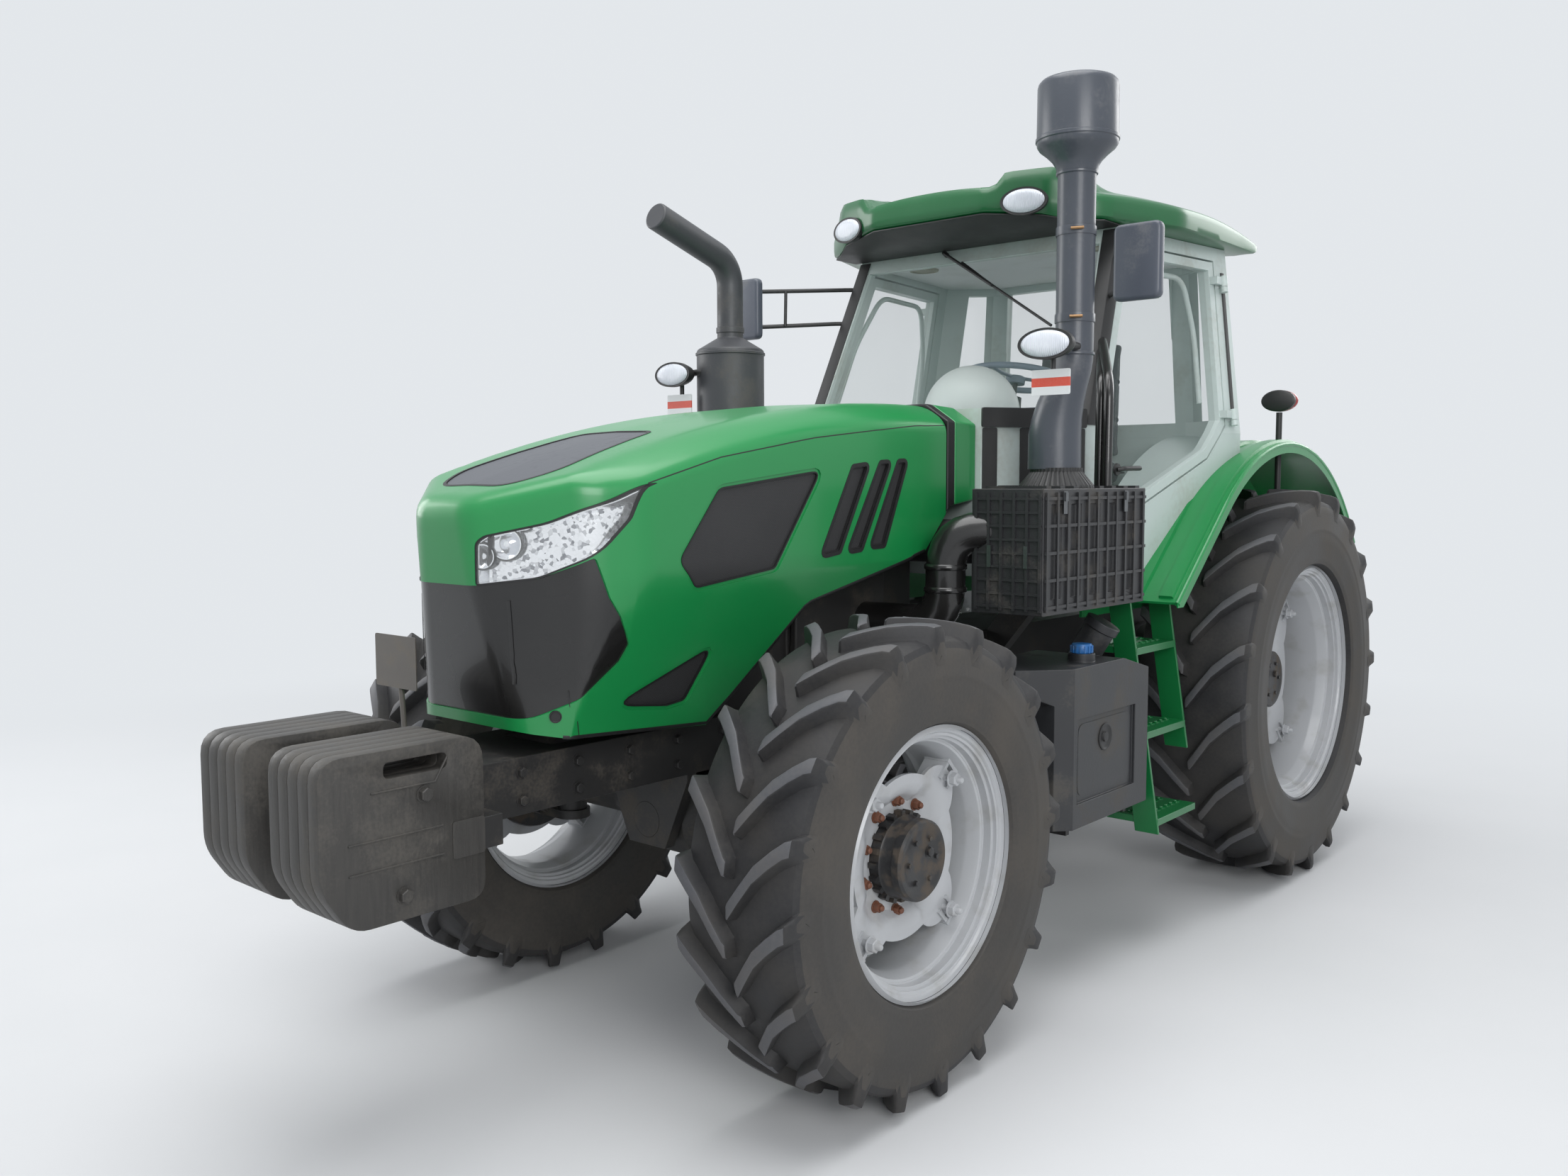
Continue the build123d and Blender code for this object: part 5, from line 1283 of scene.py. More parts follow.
cup_parts, divider_parts = [], []
for side, sign in sides:
    for x, z, radius in ((0.196, 1.512, 0.032), (0.292, 1.545, 0.040), (0.356, 1.604, 0.024)):
        spot, facing = skin_at(Vector((sign * x, nose - 0.05, z)))
        seat = spot - facing * 0.007
        cup_parts.append(lamp_cup(seat, facing, radius, 0.024))
        bezel = ((0.004, radius - 0.001), (-0.001, radius), (-0.001, radius + 0.004), (0.006, radius + 0.006))
        divider_parts.append(aimed(spun(bezel, 28), seat, -facing))
    spot, facing = skin_at(Vector((sign * 0.240, nose - 0.05, 1.535)))
    bar = spun([(-0.048, 0.0001), (-0.048, 0.009), (0.048, 0.009), (0.048, 0.0001)], 12)
    divider_parts.append(aimed(bar, spot - facing * 0.012, (sign * 0.1, 0, 1)))
piece("headlamp_cups", *joined(cup_parts), plated, "hood", "lamp_housing")
piece("headlamp_dividers", *joined(divider_parts), gloss_black, "hood", "lamp_housing")

# ---------------------------------------------------------------- cowl and seal
# A fixed cowl between the hood and the cab, in the hood's green, and a black rubber
# seal in the gap; cranked hinge arms reach forward from pivots on the bulkhead.
softened("rear_cowl", 0.012, hood_green)
softened("hood_seal", 0.006, gasket)
softened("hood_hinge_arms", 0.003, link_black, "hood")

# ---------------------------------------------------------------- cab
# A welded cab of pressed posts in pale grey-green paint, glazed all round with
# lightly tinted safety glass; a large door on each side hangs on outside hinges.
cab_pale = worn_paint("cab_paint", srgb(196, 208, 205), srgb(187, 199, 196), srgb(170, 173, 165), 0.42, 3.0)


def glass_finish():
    """Clear safety glass with a faint green tint and a thin film of dust."""
    finish = Finish("glass_tint", Roughness=0.03, IOR=1.45, Alpha=0.08)
    film = finish.grain(3.0, 4.0)
    finish.feed("Base Color", finish.blend(film, srgb(110, 132, 126), srgb(140, 158, 152)))
    finish.feed("Roughness", film * 0.06 + 0.01)
    return finish


glass = glass_finish()
softened("cab_tub", 0.012, cab_pale)
softened("cab_frame", 0.010, cab_pale)
softened("cab_glass", 0.001, glass)
for side, sign in sides:
    softened(f"door_{side}", 0.008, cab_pale, f"door_{side}")
    softened(f"door_glass_{side}", 0.001, glass, f"door_{side}")

# ---------------------------------------------------------------- cab posts and rails
# Black rubber-faced covers wrap the front posts outside; inside, bent steel tubes
# run along each door as grab rails, and a wiper hangs from the windscreen's head.
cab_y = ry - 2.780
cab_waist = 1.900
cab_eaves = 2.660


def trim_finish():
    """Grained black moulding."""
    finish = Finish("black_trim", Roughness=0.5)
    clouds = finish.grain(14.0, 4.0)
    finish.feed("Base Color", finish.blend(clouds, srgb(32, 32, 33), srgb(48, 48, 48)))
    finish.feed("Roughness", clouds * 0.2 + 0.40)
    finish.bump(finish.grain(260.0, 3.0), 0.0006, 0.4)
    return finish


black_trim = trim_finish()


def post_corner(z):
    """The cab's front corner, seen from above, at a height on its leaning post."""
    share = (z - cab_waist) / (cab_eaves - cab_waist)
    return Vector((0.660 - 0.060 * share, cab_y + 1.360 + 0.320 * share))


def post_cover(sign, low, high):
    """An angle section that follows a front post between two heights."""
    section = ((-0.050, -0.0045), (0.002, -0.0045), (0.006, -0.001), (0.014, 0.056),
               (0.0095, 0.056), (0.002, 0.001), (-0.002, -0.0004), (-0.050, -0.0004))
    corners = []
    for z in (low, high):
        spot = post_corner(z)
        corners += [Vector((sign * (spot.x + x), spot.y + y, z)) for x, y in section]
    return corners, between_outlines(len(section))


covers = [post_cover(sign, 1.906, 2.650) for _, sign in sides]
fixed("post_covers", covers, black_trim, "cab_paint", 50)


def tube(points, radius, bend=0.04, around=12):
    """A round tube or bar through a few points, bent smoothly at each corner."""
    points = [Vector(point) for point in points]
    line = [points[0]]
    for before, here, after in zip(points, points[1:], points[2:]):
        reach = min(bend, (here - before).length * 0.45, (after - here).length * 0.45)
        start = here + (before - here).normalized() * reach
        end = here + (after - here).normalized() * reach
        for step in range(7):
            share = step / 6
            line.append(start.lerp(here, share).lerp(here.lerp(end, share), share))
    line.append(points[-1])
    corners = []
    across = (line[1] - line[0]).normalized().orthogonal().normalized()
    for k, spot in enumerate(line):
        run = (line[min(k + 1, len(line) - 1)] - line[max(k - 1, 0)]).normalized()
        across = (across - run * across.dot(run)).normalized()
        beside = run.cross(across)
        for step in range(around):
            turn = math.tau * step / around
            corners.append(spot + (across * math.cos(turn) + beside * math.sin(turn)) * radius)
    return corners, between_rings(len(line), around)


for side, sign in sides:
    rail = tube([(sign * x, cab_y + y, z) for x, y, z in (
        (0.632, 1.500, 1.960), (0.606, 1.640, 2.300), (0.580, 1.790, 2.520), (0.640, 2.180, 2.520),
        (0.668, 2.240, 2.300), (0.700, 2.235, 2.020))], 0.011, 0.07)
    piece(f"door_rail_{side}", *rail, cab_pale, f"door_{side}", "cab_paint", 60)
    handle = [tube([(sign * 0.704, cab_y + 1.520, 1.745), (sign * 0.722, cab_y + 1.530, 1.750),
                    (sign * 0.732, cab_y + 1.640, 1.752), (sign * 0.722, cab_y + 1.655, 1.752)], 0.009, 0.02)]
    rose = spun([(0.0, 0.0001), (0.0, 0.024), (0.008, 0.022), (0.010, 0.0001)], 20,
                origin=(0.692, cab_y + 1.530, 1.747))
    handle.append(mirrored_to(rose, sign))
    piece(f"door_handle_{side}", *joined(handle), black_trim, f"door_{side}", "seal_rubber")


def screen_spot(x, z, proud):
    """A point on the windscreen's leaning face, at a distance in front of it."""
    y = cab_y + 1.360 + 0.421 * (z - cab_waist)
    return Vector((x, y - proud * 0.92, z + proud * 0.39))


wiper = [tube([screen_spot(*spot) for spot in spots], radius) for radius, spots in (
    (0.0100, ((-0.150, 2.635, 0.004), (-0.150, 2.635, 0.030))),
    (0.0065, ((-0.150, 2.632, 0.026), (0.120, 2.470, 0.022))),
    (0.0055, ((-0.060, 2.590, 0.012), (0.120, 2.472, 0.014), (0.425, 2.286, 0.012))),
)]
fixed("wiper", wiper, black_trim, "seal_rubber", 60)

# ---------------------------------------------------------------- roof
# A moulded green roof with pods over its front lamps and a black soffit under its
# lip, trimmed inside with a light grey headliner that carries two round speakers.
roof_green = green_finish("roof_green", srgb(14, 92, 48))
roof_half = (
    # half width, distance back from the cab's front, corner radius
    (0.260, 1.286, 0.10), (0.470, 1.370, 0.16), (0.640, 1.520, 0.18), (0.765, 1.900, 0.25),
    (0.765, 2.640, 0.12), (0.690, 2.820, 0.12), (0.300, 2.874, 0.20),
)
roof_plan = rounded([(x, cab_y + y, corner) for x, y, corner in both_halves(roof_half)], 0.1)
roof_middle = Vector((0.0, cab_y + 2.080))


def eased(value, low, high):
    """0 below low and 1 above high, with a smooth step between."""
    share = min(1.0, max(0.0, (value - low) / (high - low)))
    return share * share * (3 - 2 * share)


def roof_top(x, y):
    """Height of the crowned roof, with its two raised lamp pods in front."""
    run = y - cab_y - 2.150
    rise = 2.893 - 0.093 * (run / (0.865 if run < 0 else 0.725)) ** 2 - 0.150 * (abs(x) / 0.765) ** 2.2
    pod = eased(abs(x), 0.285, 0.335) * (1 - eased(abs(x), 0.490, 0.575))
    pod *= 1 - eased(y, cab_y + 1.560, cab_y + 1.780)
    return rise + pod * max(0.0, 2.858 + 0.10 * (y - cab_y - 1.52) - rise)


def roof_low(y):
    """Height of the roof's underside, raised at its front lip and its tail."""
    lip = 0.040 * (1 - eased(y, cab_y + 1.290, cab_y + 1.460))
    tail = 0.092 * eased(y, cab_y + 2.600, cab_y + 2.870)
    return 2.6612 + lip + tail


def roof_form():
    """Rings from the crown's middle over the edge and back under it."""
    line = []
    for here, after in zip(roof_plan, roof_plan[1:] + roof_plan[:1]):
        run = Vector(after) - Vector(here)
        steps = max(1, round(run.length / 0.030))
        line += [Vector(here) + run * (k / steps) for k in range(steps)]
    corners = []
    # Share of the way from the middle to the edge, and height up the edge if there.
    rings = [(k / 24, None) for k in range(1, 23)] + [(0.94, None), (0.965, None), (0.985, None)]
    rings += [(0.996, 0.90), (1.0, 0.70), (1.0, 0.35), (0.997, 0.10)]
    rings += [(share, 0.0) for share in (0.985, 0.90, 0.60, 0.20)]
    for share, up in rings:
        for spot in line:
            at = roof_middle.lerp(spot, share)
            edge = roof_middle.lerp(spot, 0.985)
            low = roof_low(spot.y)
            if up is None:
                z = roof_top(at.x, at.y)
            elif up == 0.0:
                z = roof_low(at.y)
            else:
                z = low + (roof_top(edge.x, edge.y) - 0.004 - low) * up
            corners.append(Vector((at.x, at.y, z)))
    return corners, between_rings(len(rings), len(line))


roof_skin = piece("roof_skin", *roof_form(), roof_green, "chassis", "roof_green", 42)
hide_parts("cab_roof")
liner = worn_paint("headliner_trim", srgb(224, 227, 228), srgb(216, 219, 220), srgb(204, 206, 204), 0.8, 5.0)
softened("headliner", 0.004, liner)
soffit_rows = ((1.296, 0.252), (1.380, 0.456), (1.458, 0.545), (1.530, 0.628), (1.668, 0.628))
soffit_corners = []
for y, half in soffit_rows:
    z = 2.6995 - 0.040 * min(1.0, (y - 1.285) / 0.175) - 0.001
    for x, drop in ((-half, 0), (half, 0), (half, 0.004), (-half, 0.004)):
        soffit_corners.append(Vector((x, cab_y + y, z - drop)))
soffit_faces = between_rings(len(soffit_rows), 4)
piece("roof_soffit", soffit_corners, soffit_faces, black_trim, "chassis", "roof_green", 30)


def turned_up(profile, spot, steps=32):
    """A (radius, height) profile turned round an upright line."""
    corners, faces = spun([(z, radius) for radius, z in profile], steps)
    return [Vector((p.y, p.z, p.x)) + Vector(spot) for p in corners], faces


speakers = [turned_up([(0.0001, -0.006), (0.046, -0.006), (0.050, -0.010), (0.062, -0.008), (0.064, 0.0)],
                      (sign * 0.400, cab_y + 1.860, 2.630)) for _, sign in sides]
speaker_tan = worn_paint(
    "speaker_trim", srgb(166, 164, 150), srgb(150, 148, 134), srgb(140, 140, 132), 0.6, 9.0)
fixed("speakers", speakers, speaker_tan, "headliner_trim")

# ---------------------------------------------------------------- fenders, tanks and steps
# Moulded green fenders over the rear wheels, dark plastic fuel tanks slung low on
# each side and green welded steps behind them.
softened("fenders", 0.010, hood_green, steps=3, angle=25)
tank_grey = worn_paint("tank_plastic", srgb(38, 39, 42), srgb(49, 50, 52), srgb(84, 80, 74), 0.42, 6.0)
softened("fuel_tanks", 0.028, tank_grey, steps=4)
step_green = green_finish("step_green", srgb(18, 104, 54))
softened("steps", 0.004, step_green)
arch_ahead, arch_z, arch_radius = 0.040, 0.800, 1.070
arch_end = 130               # degrees round the arch, where its straight front begins


def fender_point(radius, angle, run):
    """A point on the fender's line, an arch with a straight run down its front."""
    turn = math.radians(angle)
    y = ry - arch_ahead + radius * math.cos(turn) - run * math.sin(turn)
    z = arch_z + radius * math.sin(turn) + run * math.cos(turn)
    return y, z


def fender_spots(start, run):
    """Places along the fender's line, from an angle to the end of its straight run."""
    arch = [(angle, 0.0) for angle in range(start, arch_end + 1, 5)]
    return arch + [(arch_end, run * k / 4) for k in (1, 2, 3, 4)]


def fender_strip(x, wide, proud, start, run):
    """A raised rib that follows the fender's line."""
    spots = fender_spots(start, run)
    corners = []
    for angle, along in spots:
        for shift, rise in ((-0.5, -0.001), (-0.42, proud), (0.42, proud), (0.5, -0.001)):
            y, z = fender_point(arch_radius + rise, angle, along)
            corners.append(Vector((x + shift * wide, y, z)))
    return corners, between_rings(len(spots), 4)


lip_radius = arch_radius - 0.009
for side, sign in sides:
    ribs = [fender_strip(x, wide, 0.012, 38, 0.54) for x, wide in ((0.846, 0.060), (0.715, 0.080))]
    edge = [(0.893, *fender_point(lip_radius, *spot)) for spot in fender_spots(35, 0.56)]
    ribs.append(tube(edge, 0.011, 0.02, 10))
    form = mirrored_to(joined(ribs), sign)
    piece(f"fender_ribs_{side}", *form, hood_green, "chassis", "hood_green", 30)
cap_blue = worn_paint("cap_blue", srgb(34, 96, 160), srgb(48, 112, 176), srgb(90, 110, 130), 0.35, 30.0)
tank_front, tank_rear = fy + 0.800, cab_y + 1.390
tank_parts, port_parts, tread_parts = [], [], []
for side, sign in sides:
    frame_line = rectangle(tank_front + 0.088, tank_rear - 0.108, 0.658, 0.922, 0.05)
    x_low, x_high = sorted((sign * 0.8870, sign * 0.8895))
    tank_parts.append(prism(shrunk(frame_line, 0.012), "x", x_low, x_high))
    port_y, port_z = (tank_front + tank_rear) / 2 - 0.01, 0.845
    dish = spun([(0.8885, 0.046), (0.8935, 0.046), (0.8950, 0.042), (0.8900, 0.036), (0.8895, 0.018),
                 (0.8960, 0.016), (0.8965, 0.0001)], 32, origin=(0, port_y, port_z))
    port_parts.append(mirrored_to(dish, sign))
cap_spot = (0.820, tank_rear - 0.345, 1.128)
cap_profile = [(0.034, 0.0), (0.036, 0.004), (0.036, 0.024), (0.032, 0.031), (0.0001, 0.033)]
cap_parts = [turned_up(cap_profile, cap_spot)]
knurl = slab((0.034, -0.0025, 0.002), (0.0385, 0.0025, 0.025))
cap_parts += [turned_part(knurl, Matrix.Rotation(math.tau * k / 16, 3, "Z"), cap_spot) for k in range(16)]
fixed("tank_recesses", tank_parts, tank_grey, "tank_plastic", 30)
fixed("tank_ports", port_parts, black_trim, "tank_plastic")
fixed("tank_cap", cap_parts, cap_blue, "tank_plastic", 35)
for _, sign in sides:
    for z, outer in ((0.470, 0.9254), (0.780, 0.8785), (1.080, 0.8335)):
        for row in range(2):
            for k in range(7):
                spot = (sign * (outer - 0.060 - 0.065 * row), cab_y + 1.475 + 0.041 * k, z + 0.025)
                tread_parts.append(turned_up([(0.012, -0.001), (0.012, 0.003), (0.009, 0.004), (0.007, 0.001),
                                              (0.0001, 0.001)], spot, 12))
fixed("step_treads", tread_parts, step_green, "step_green")

# ---------------------------------------------------------------- air and exhaust
# A ribbed plastic air-filter box ahead of the cab door with a painted steel intake
# stack and pre-cleaner on it; the muffler and its tail pipe stand on the other side.
box_black = worn_paint("filter_plastic", srgb(34, 35, 37), srgb(46, 46, 48), srgb(84, 80, 74), 0.45, 8.0)
softened("air_filter_box", 0.010, box_black)
louvres = []
for count, low, high, step in (
    # bars, the first one's two corners from the cab's front, and the way to the next
    (11, (0.8695, 0.700, 1.292), (0.8775, 0.712, 1.668), (0, 0.0668, 0)),
    (5, (0.8695, 0.696, 1.300), (0.8760, 1.394, 1.310), (0, 0, 0.086)),
    (6, (0.622, 0.6825, 1.292), (0.632, 0.6905, 1.668), (0.0468, 0, 0)),
    (9, (0.620, 0.6845, 1.300), (0.866, 0.6905, 1.308), (0, 0, 0.043)),
    (8, (0.640, 0.720, 1.6795), (0.862, 0.750, 1.6880), (0, 0.088, 0)),
):
    for k in range(count):
        shift = Vector((0, cab_y, 0)) + Vector(step) * k
        louvres.append(slab(Vector(low) + shift, Vector(high) + shift))
fixed("filter_louvres", louvres, box_black, "tank_plastic", 30)
latches = []
for y in (0.80, 1.22):
    latches.append(slab((0.8765, cab_y + y, 1.600), (0.8805, cab_y + y + 0.024, 1.672)))
    latches.append(slab((0.8800, cab_y + y + 0.004, 1.640), (0.8850, cab_y + y + 0.020, 1.668)))
for x in (0.672, 0.806):
    latches.append(slab((x, cab_y + 0.6790, 1.430), (x + 0.014, cab_y + 0.6850, 1.500)))
steel = speckled("latch_steel", 50.0, srgb(120, 122, 124), srgb(92, 94, 96), Metallic=0.9, Roughness=0.35)
fixed("filter_latches", latches, steel, "tank_plastic", 30)

stack_grey = worn_paint("stack_paint", srgb(64, 69, 77), srgb(76, 80, 88), srgb(104, 105, 107), 0.30, 5.0)
stack_spot = Vector((0.800, cab_y + 1.000, 0.0))


def stack_form():
    """Wide cranked foot, straight pipe and a flat-topped pre-cleaner bowl."""
    rings = [(0.732, 1.744, 0.088), (0.732, 1.860, 0.087), (0.738, 1.910, 0.083), (0.752, 1.965, 0.077),
             (0.770, 2.015, 0.071), (0.788, 2.062, 0.066), (0.797, 2.100, 0.063), (0.800, 2.140, 0.062)]
    rings += [(stack_spot.x, z, radius) for z, radius in (
        (2.690, 0.062), (2.705, 0.066), (2.722, 0.069), (2.740, 0.080), (2.762, 0.102), (2.778, 0.122),
        (2.790, 0.130), (2.800, 0.131), (2.803, 0.1345), (2.812, 0.1345), (2.815, 0.131), (2.972, 0.130),
        (2.984, 0.127), (2.993, 0.119), (2.997, 0.108), (2.999, 0.050), (2.9995, 0.0005))]
    rings.insert(0, (0.732, 1.744, 0.0005))
    steps = 56
    turns = [math.tau * k / steps for k in range(steps)]
    corners = [Vector((x + radius * math.cos(turn), stack_spot.y + radius * math.sin(turn), z))
               for x, z, radius in rings for turn in turns]
    return corners, between_rings(len(rings), steps)


stack = piece("stack_pipe", *stack_form(), stack_grey, "chassis", "stack_paint", 40)
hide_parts("intake_stack")
boot_rows = [(1.6805, 1.0), (1.690, 1.0), (1.735, 0.70), (1.748, 0.70)]
boot_steps, boot_x = 120, 0.740
boot_corners = []
for z, share in boot_rows:
    for k in range(boot_steps):
        turn = math.tau * k / boot_steps
        reach = share * (0.124 - (0.005 if k % 3 == 0 and 1.685 < z < 1.74 else 0.0))
        boot_corners.append(
            Vector((boot_x + reach * math.cos(turn), stack_spot.y + reach * math.sin(turn), z)))
boot_faces = between_rings(len(boot_rows), boot_steps)
boot = piece("stack_boot", boot_corners, boot_faces, black_trim, "chassis", "stack_paint", 30)
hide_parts("intake_stack")
bands, screws = [], []
for z in (2.235, 2.515):
    bands.append(turned_up([(0.0615, -0.014), (0.0650, -0.014), (0.0655, -0.010), (0.0655, 0.010),
                            (0.0650, 0.014), (0.0615, 0.014)], stack_spot + Vector((0, 0, z)), 48))
    ends = [stack_spot + Vector(end) for end in ((0.020, -0.072, z), (0.058, -0.056, z))]
    screws.append(tube(ends, 0.005))
for z, radius in ((2.700, 0.0640), (2.120, 0.0625)):
    proud = radius + 0.0035
    profile = [(radius, -0.006), (proud, -0.003), (proud, 0.003), (radius, 0.006)]
    bands.append(turned_up(profile, stack_spot + Vector((0, 0, z)), 56))
fixed("stack_bands", bands, stack_grey, "stack_paint", 40)
brass = speckled("clamp_brass", 50.0, srgb(176, 140, 100), srgb(140, 110, 84),
                 Metallic=0.8, Roughness=0.4)
fixed("stack_screws", screws, brass, "stack_paint")
soot = worn_paint("muffler_paint", srgb(56, 58, 62), srgb(70, 71, 74), srgb(92, 88, 84), 0.45, 6.0)
softened("exhaust", 0.008, soot, angle=32)
muffler_spot = Vector((-0.695, cab_y + 0.935, 0.0))
seams = [turned_up([(0.1352, -0.007), (0.1395, -0.004), (0.1395, 0.004), (0.1352, 0.007)],
                   muffler_spot + Vector((0, 0, z)), 56) for z in (1.665, 2.215)]
seams.append(turned_up([(0.0520, -0.012), (0.0560, -0.010), (0.0560, 0.010), (0.0520, 0.012)],
                       muffler_spot + Vector((0, 0, 2.310)), 40))
fixed("exhaust_seams", seams, soot, "muffler_paint", 40)

elbow_x, elbow_y, elbow_radius = 0.520, cab_y + 0.672, 0.066
hoses = [tube([(0.760, cab_y + 0.810, 1.540), (elbow_x, elbow_y, 1.540), (elbow_x, elbow_y, 1.230),
               (0.180, elbow_y, 1.225)], elbow_radius, 0.16, 28)]
clamp = [(elbow_radius, -0.010), (0.0705, -0.006), (0.0705, 0.006), (elbow_radius, 0.010)]
hoses += [turned_up(clamp, (elbow_x, elbow_y, z), 32) for z in (1.425, 1.350)]
for x, back in ((0.815, 1.215), (0.775, 1.235)):
    top_z = x + 1.400
    clip = post_corner(top_z)
    hoses.append(tube([(x, cab_y + back, 1.680), (x, cab_y + back + 0.005, 2.040),
                       (clip.x + 0.004, clip.y + 0.014, top_z)], 0.017, 0.08))
fixed("intake_hoses", hoses, gloss_black, "seal_rubber", 50)

# ---------------------------------------------------------------- bulkhead trim
# Moulded black mats and a grey scuttle rail clipped to the front of the cab, black door
# seals on the rear posts that are partly painted shade of the door gap, and a small blank
# plate on a bent strap by the nose.
mats = []
wall_start, wall_end = Vector((0.440, cowl_rear + 0.001)), Vector((0.660, cab_y + 1.360))
wall_run = (wall_end - wall_start).normalized()
wall_out = Vector((wall_run.y, -wall_run.x))
for *limits, proud in (
    # start and end along the wall, foot, top, thickness
    (0.000, 0.412, 1.894, 1.962, 0.010), (0.004, 0.060, 1.420, 1.892, 0.006),
    (0.150, 0.408, 1.420, 1.892, 0.004), (0.062, 0.148, 1.420, 1.690, 0.004),
):
    form = prism(rectangle(*limits, 0.008), "y", -0.0005, proud)
    for sign in (1, -1):
        placed = []
        for p in form[0]:
            spot = wall_start + wall_run * p.x + wall_out * p.y
            placed.append(Vector((sign * spot.x, spot.y, p.z)))
        mats.append((placed, form[1]))
fixed("bulkhead_mats", mats, black_trim, "seal_rubber", 40)
scuttle_grey = worn_paint("scuttle_grey", srgb(66, 70, 79), srgb(74, 78, 86), srgb(90, 92, 95), 0.5, 9.0)
rail_section = ((1.903, 0.002), (1.903, 0.012), (1.910, 0.016), (1.966, 0.016), (1.974, 0.011), (1.974, 0.001))
rail = [screen_spot(x, z, proud) for z, proud in rail_section for x in (-0.615, 0.615)]
rail_faces = [(2 * k, 2 * k + 1, (2 * k + 3) % 12, (2 * k + 2) % 12) for k in range(6)]
rail_faces += [(0, 2, 4, 6, 8, 10), (1, 3, 5, 7, 9, 11)]
piece("scuttle_rail", rail, rail_faces, scuttle_grey, "chassis", "cab_paint", 30)


def side_wall(y, z):
    """Outer face of the leaning cab side."""
    share = (z - cab_waist) / (cab_eaves - cab_waist)
    slope = (0.800 - 0.660) / (2.420 - 1.360)
    return 0.660 - 0.060 * share + slope * (y - cab_y - 1.360 - 0.320 * share)


# Black strips along the doors' rear edges: partly rubber seals, partly painted shade for the dark gap between
# door and post.
seal_and_gap_shade_parts = []
for _, sign in sides:
    corners = []
    for z in (1.960, 2.200, 2.440, 2.560):
        y = cab_y + 2.420 - 0.052 + 0.0555 * (z - 1.93)
        for shift, proud in ((-0.011, -0.001), (-0.008, 0.006), (0.008, 0.006), (0.011, -0.001)):
            corners.append(Vector((sign * (side_wall(y + shift, z) + proud), y + shift, z)))
    seal_and_gap_shade_parts.append((corners, between_rings(4, 4)))
fixed("door_seals_and_gap_shade", seal_and_gap_shade_parts, black_trim, "seal_rubber", 40)
strap = [prism(rectangle(-0.510, -0.300, 1.108, 1.262, 0.008), "y", -2.0030, -2.0000)]
strap.append(tube([(-0.250, -1.985, 0.930), (-0.390, -1.985, 0.930), (-0.400, -1.992, 1.160)], 0.008))
plate_brown = worn_paint("plate_brown", srgb(92, 88, 84), srgb(104, 100, 94), srgb(120, 112, 100), 0.5, 12.0)
fixed("blank_plate", strap, plate_brown, "casting_paint", 40)

# ---------------------------------------------------------------- lamps
# Oval work lamps with fluted lenses in black shells, the lenses' white a painted reflection
# of the reflectors behind them: two in the roof's pods, and two on arms ahead of the cab,
# where a blank striped plate hangs under each.
# Round tail lamps with red lenses stand on stalks above the fenders.


def painted_shine_lens_finish():
    """A fluted lens painted white: a painted reflection of the bright reflector behind it."""
    finish = Finish("lens_painted_shine", Roughness=0.16, Coat_Weight=0.5)
    flutes = (finish.axis("X") * 900.0).maths("SINE")
    cloudy = finish.grain(30.0)
    # Painted reflection: the near-white colour stands for the reflector's shine through the lens.
    finish.feed("Base Color", finish.blend(cloudy, srgb(222, 226, 234), srgb(206, 211, 222)))
    finish.bump(flutes, 0.0012, 0.5)
    return finish


shine_painted_lens = painted_shine_lens_finish()
red_lens = speckled("lens_red", 40.0, srgb(170, 24, 22), srgb(140, 18, 18),
                    Roughness=0.2, Coat_Weight=0.5)


def oval(profile, half_wide, half_high, spot, turn=0.0, steps=40):
    """(depth, share) rings of an oval, facing forward and turned about the upright."""
    corners = []
    spin = Matrix.Rotation(turn, 3, "Z")
    for depth, share in profile:
        for k in range(steps):
            angle = math.tau * k / steps
            ring = Vector((half_wide * share * math.cos(angle), depth, half_high * share * math.sin(angle)))
            corners.append(spin @ ring + Vector(spot))
    return corners, between_rings(len(profile), steps)


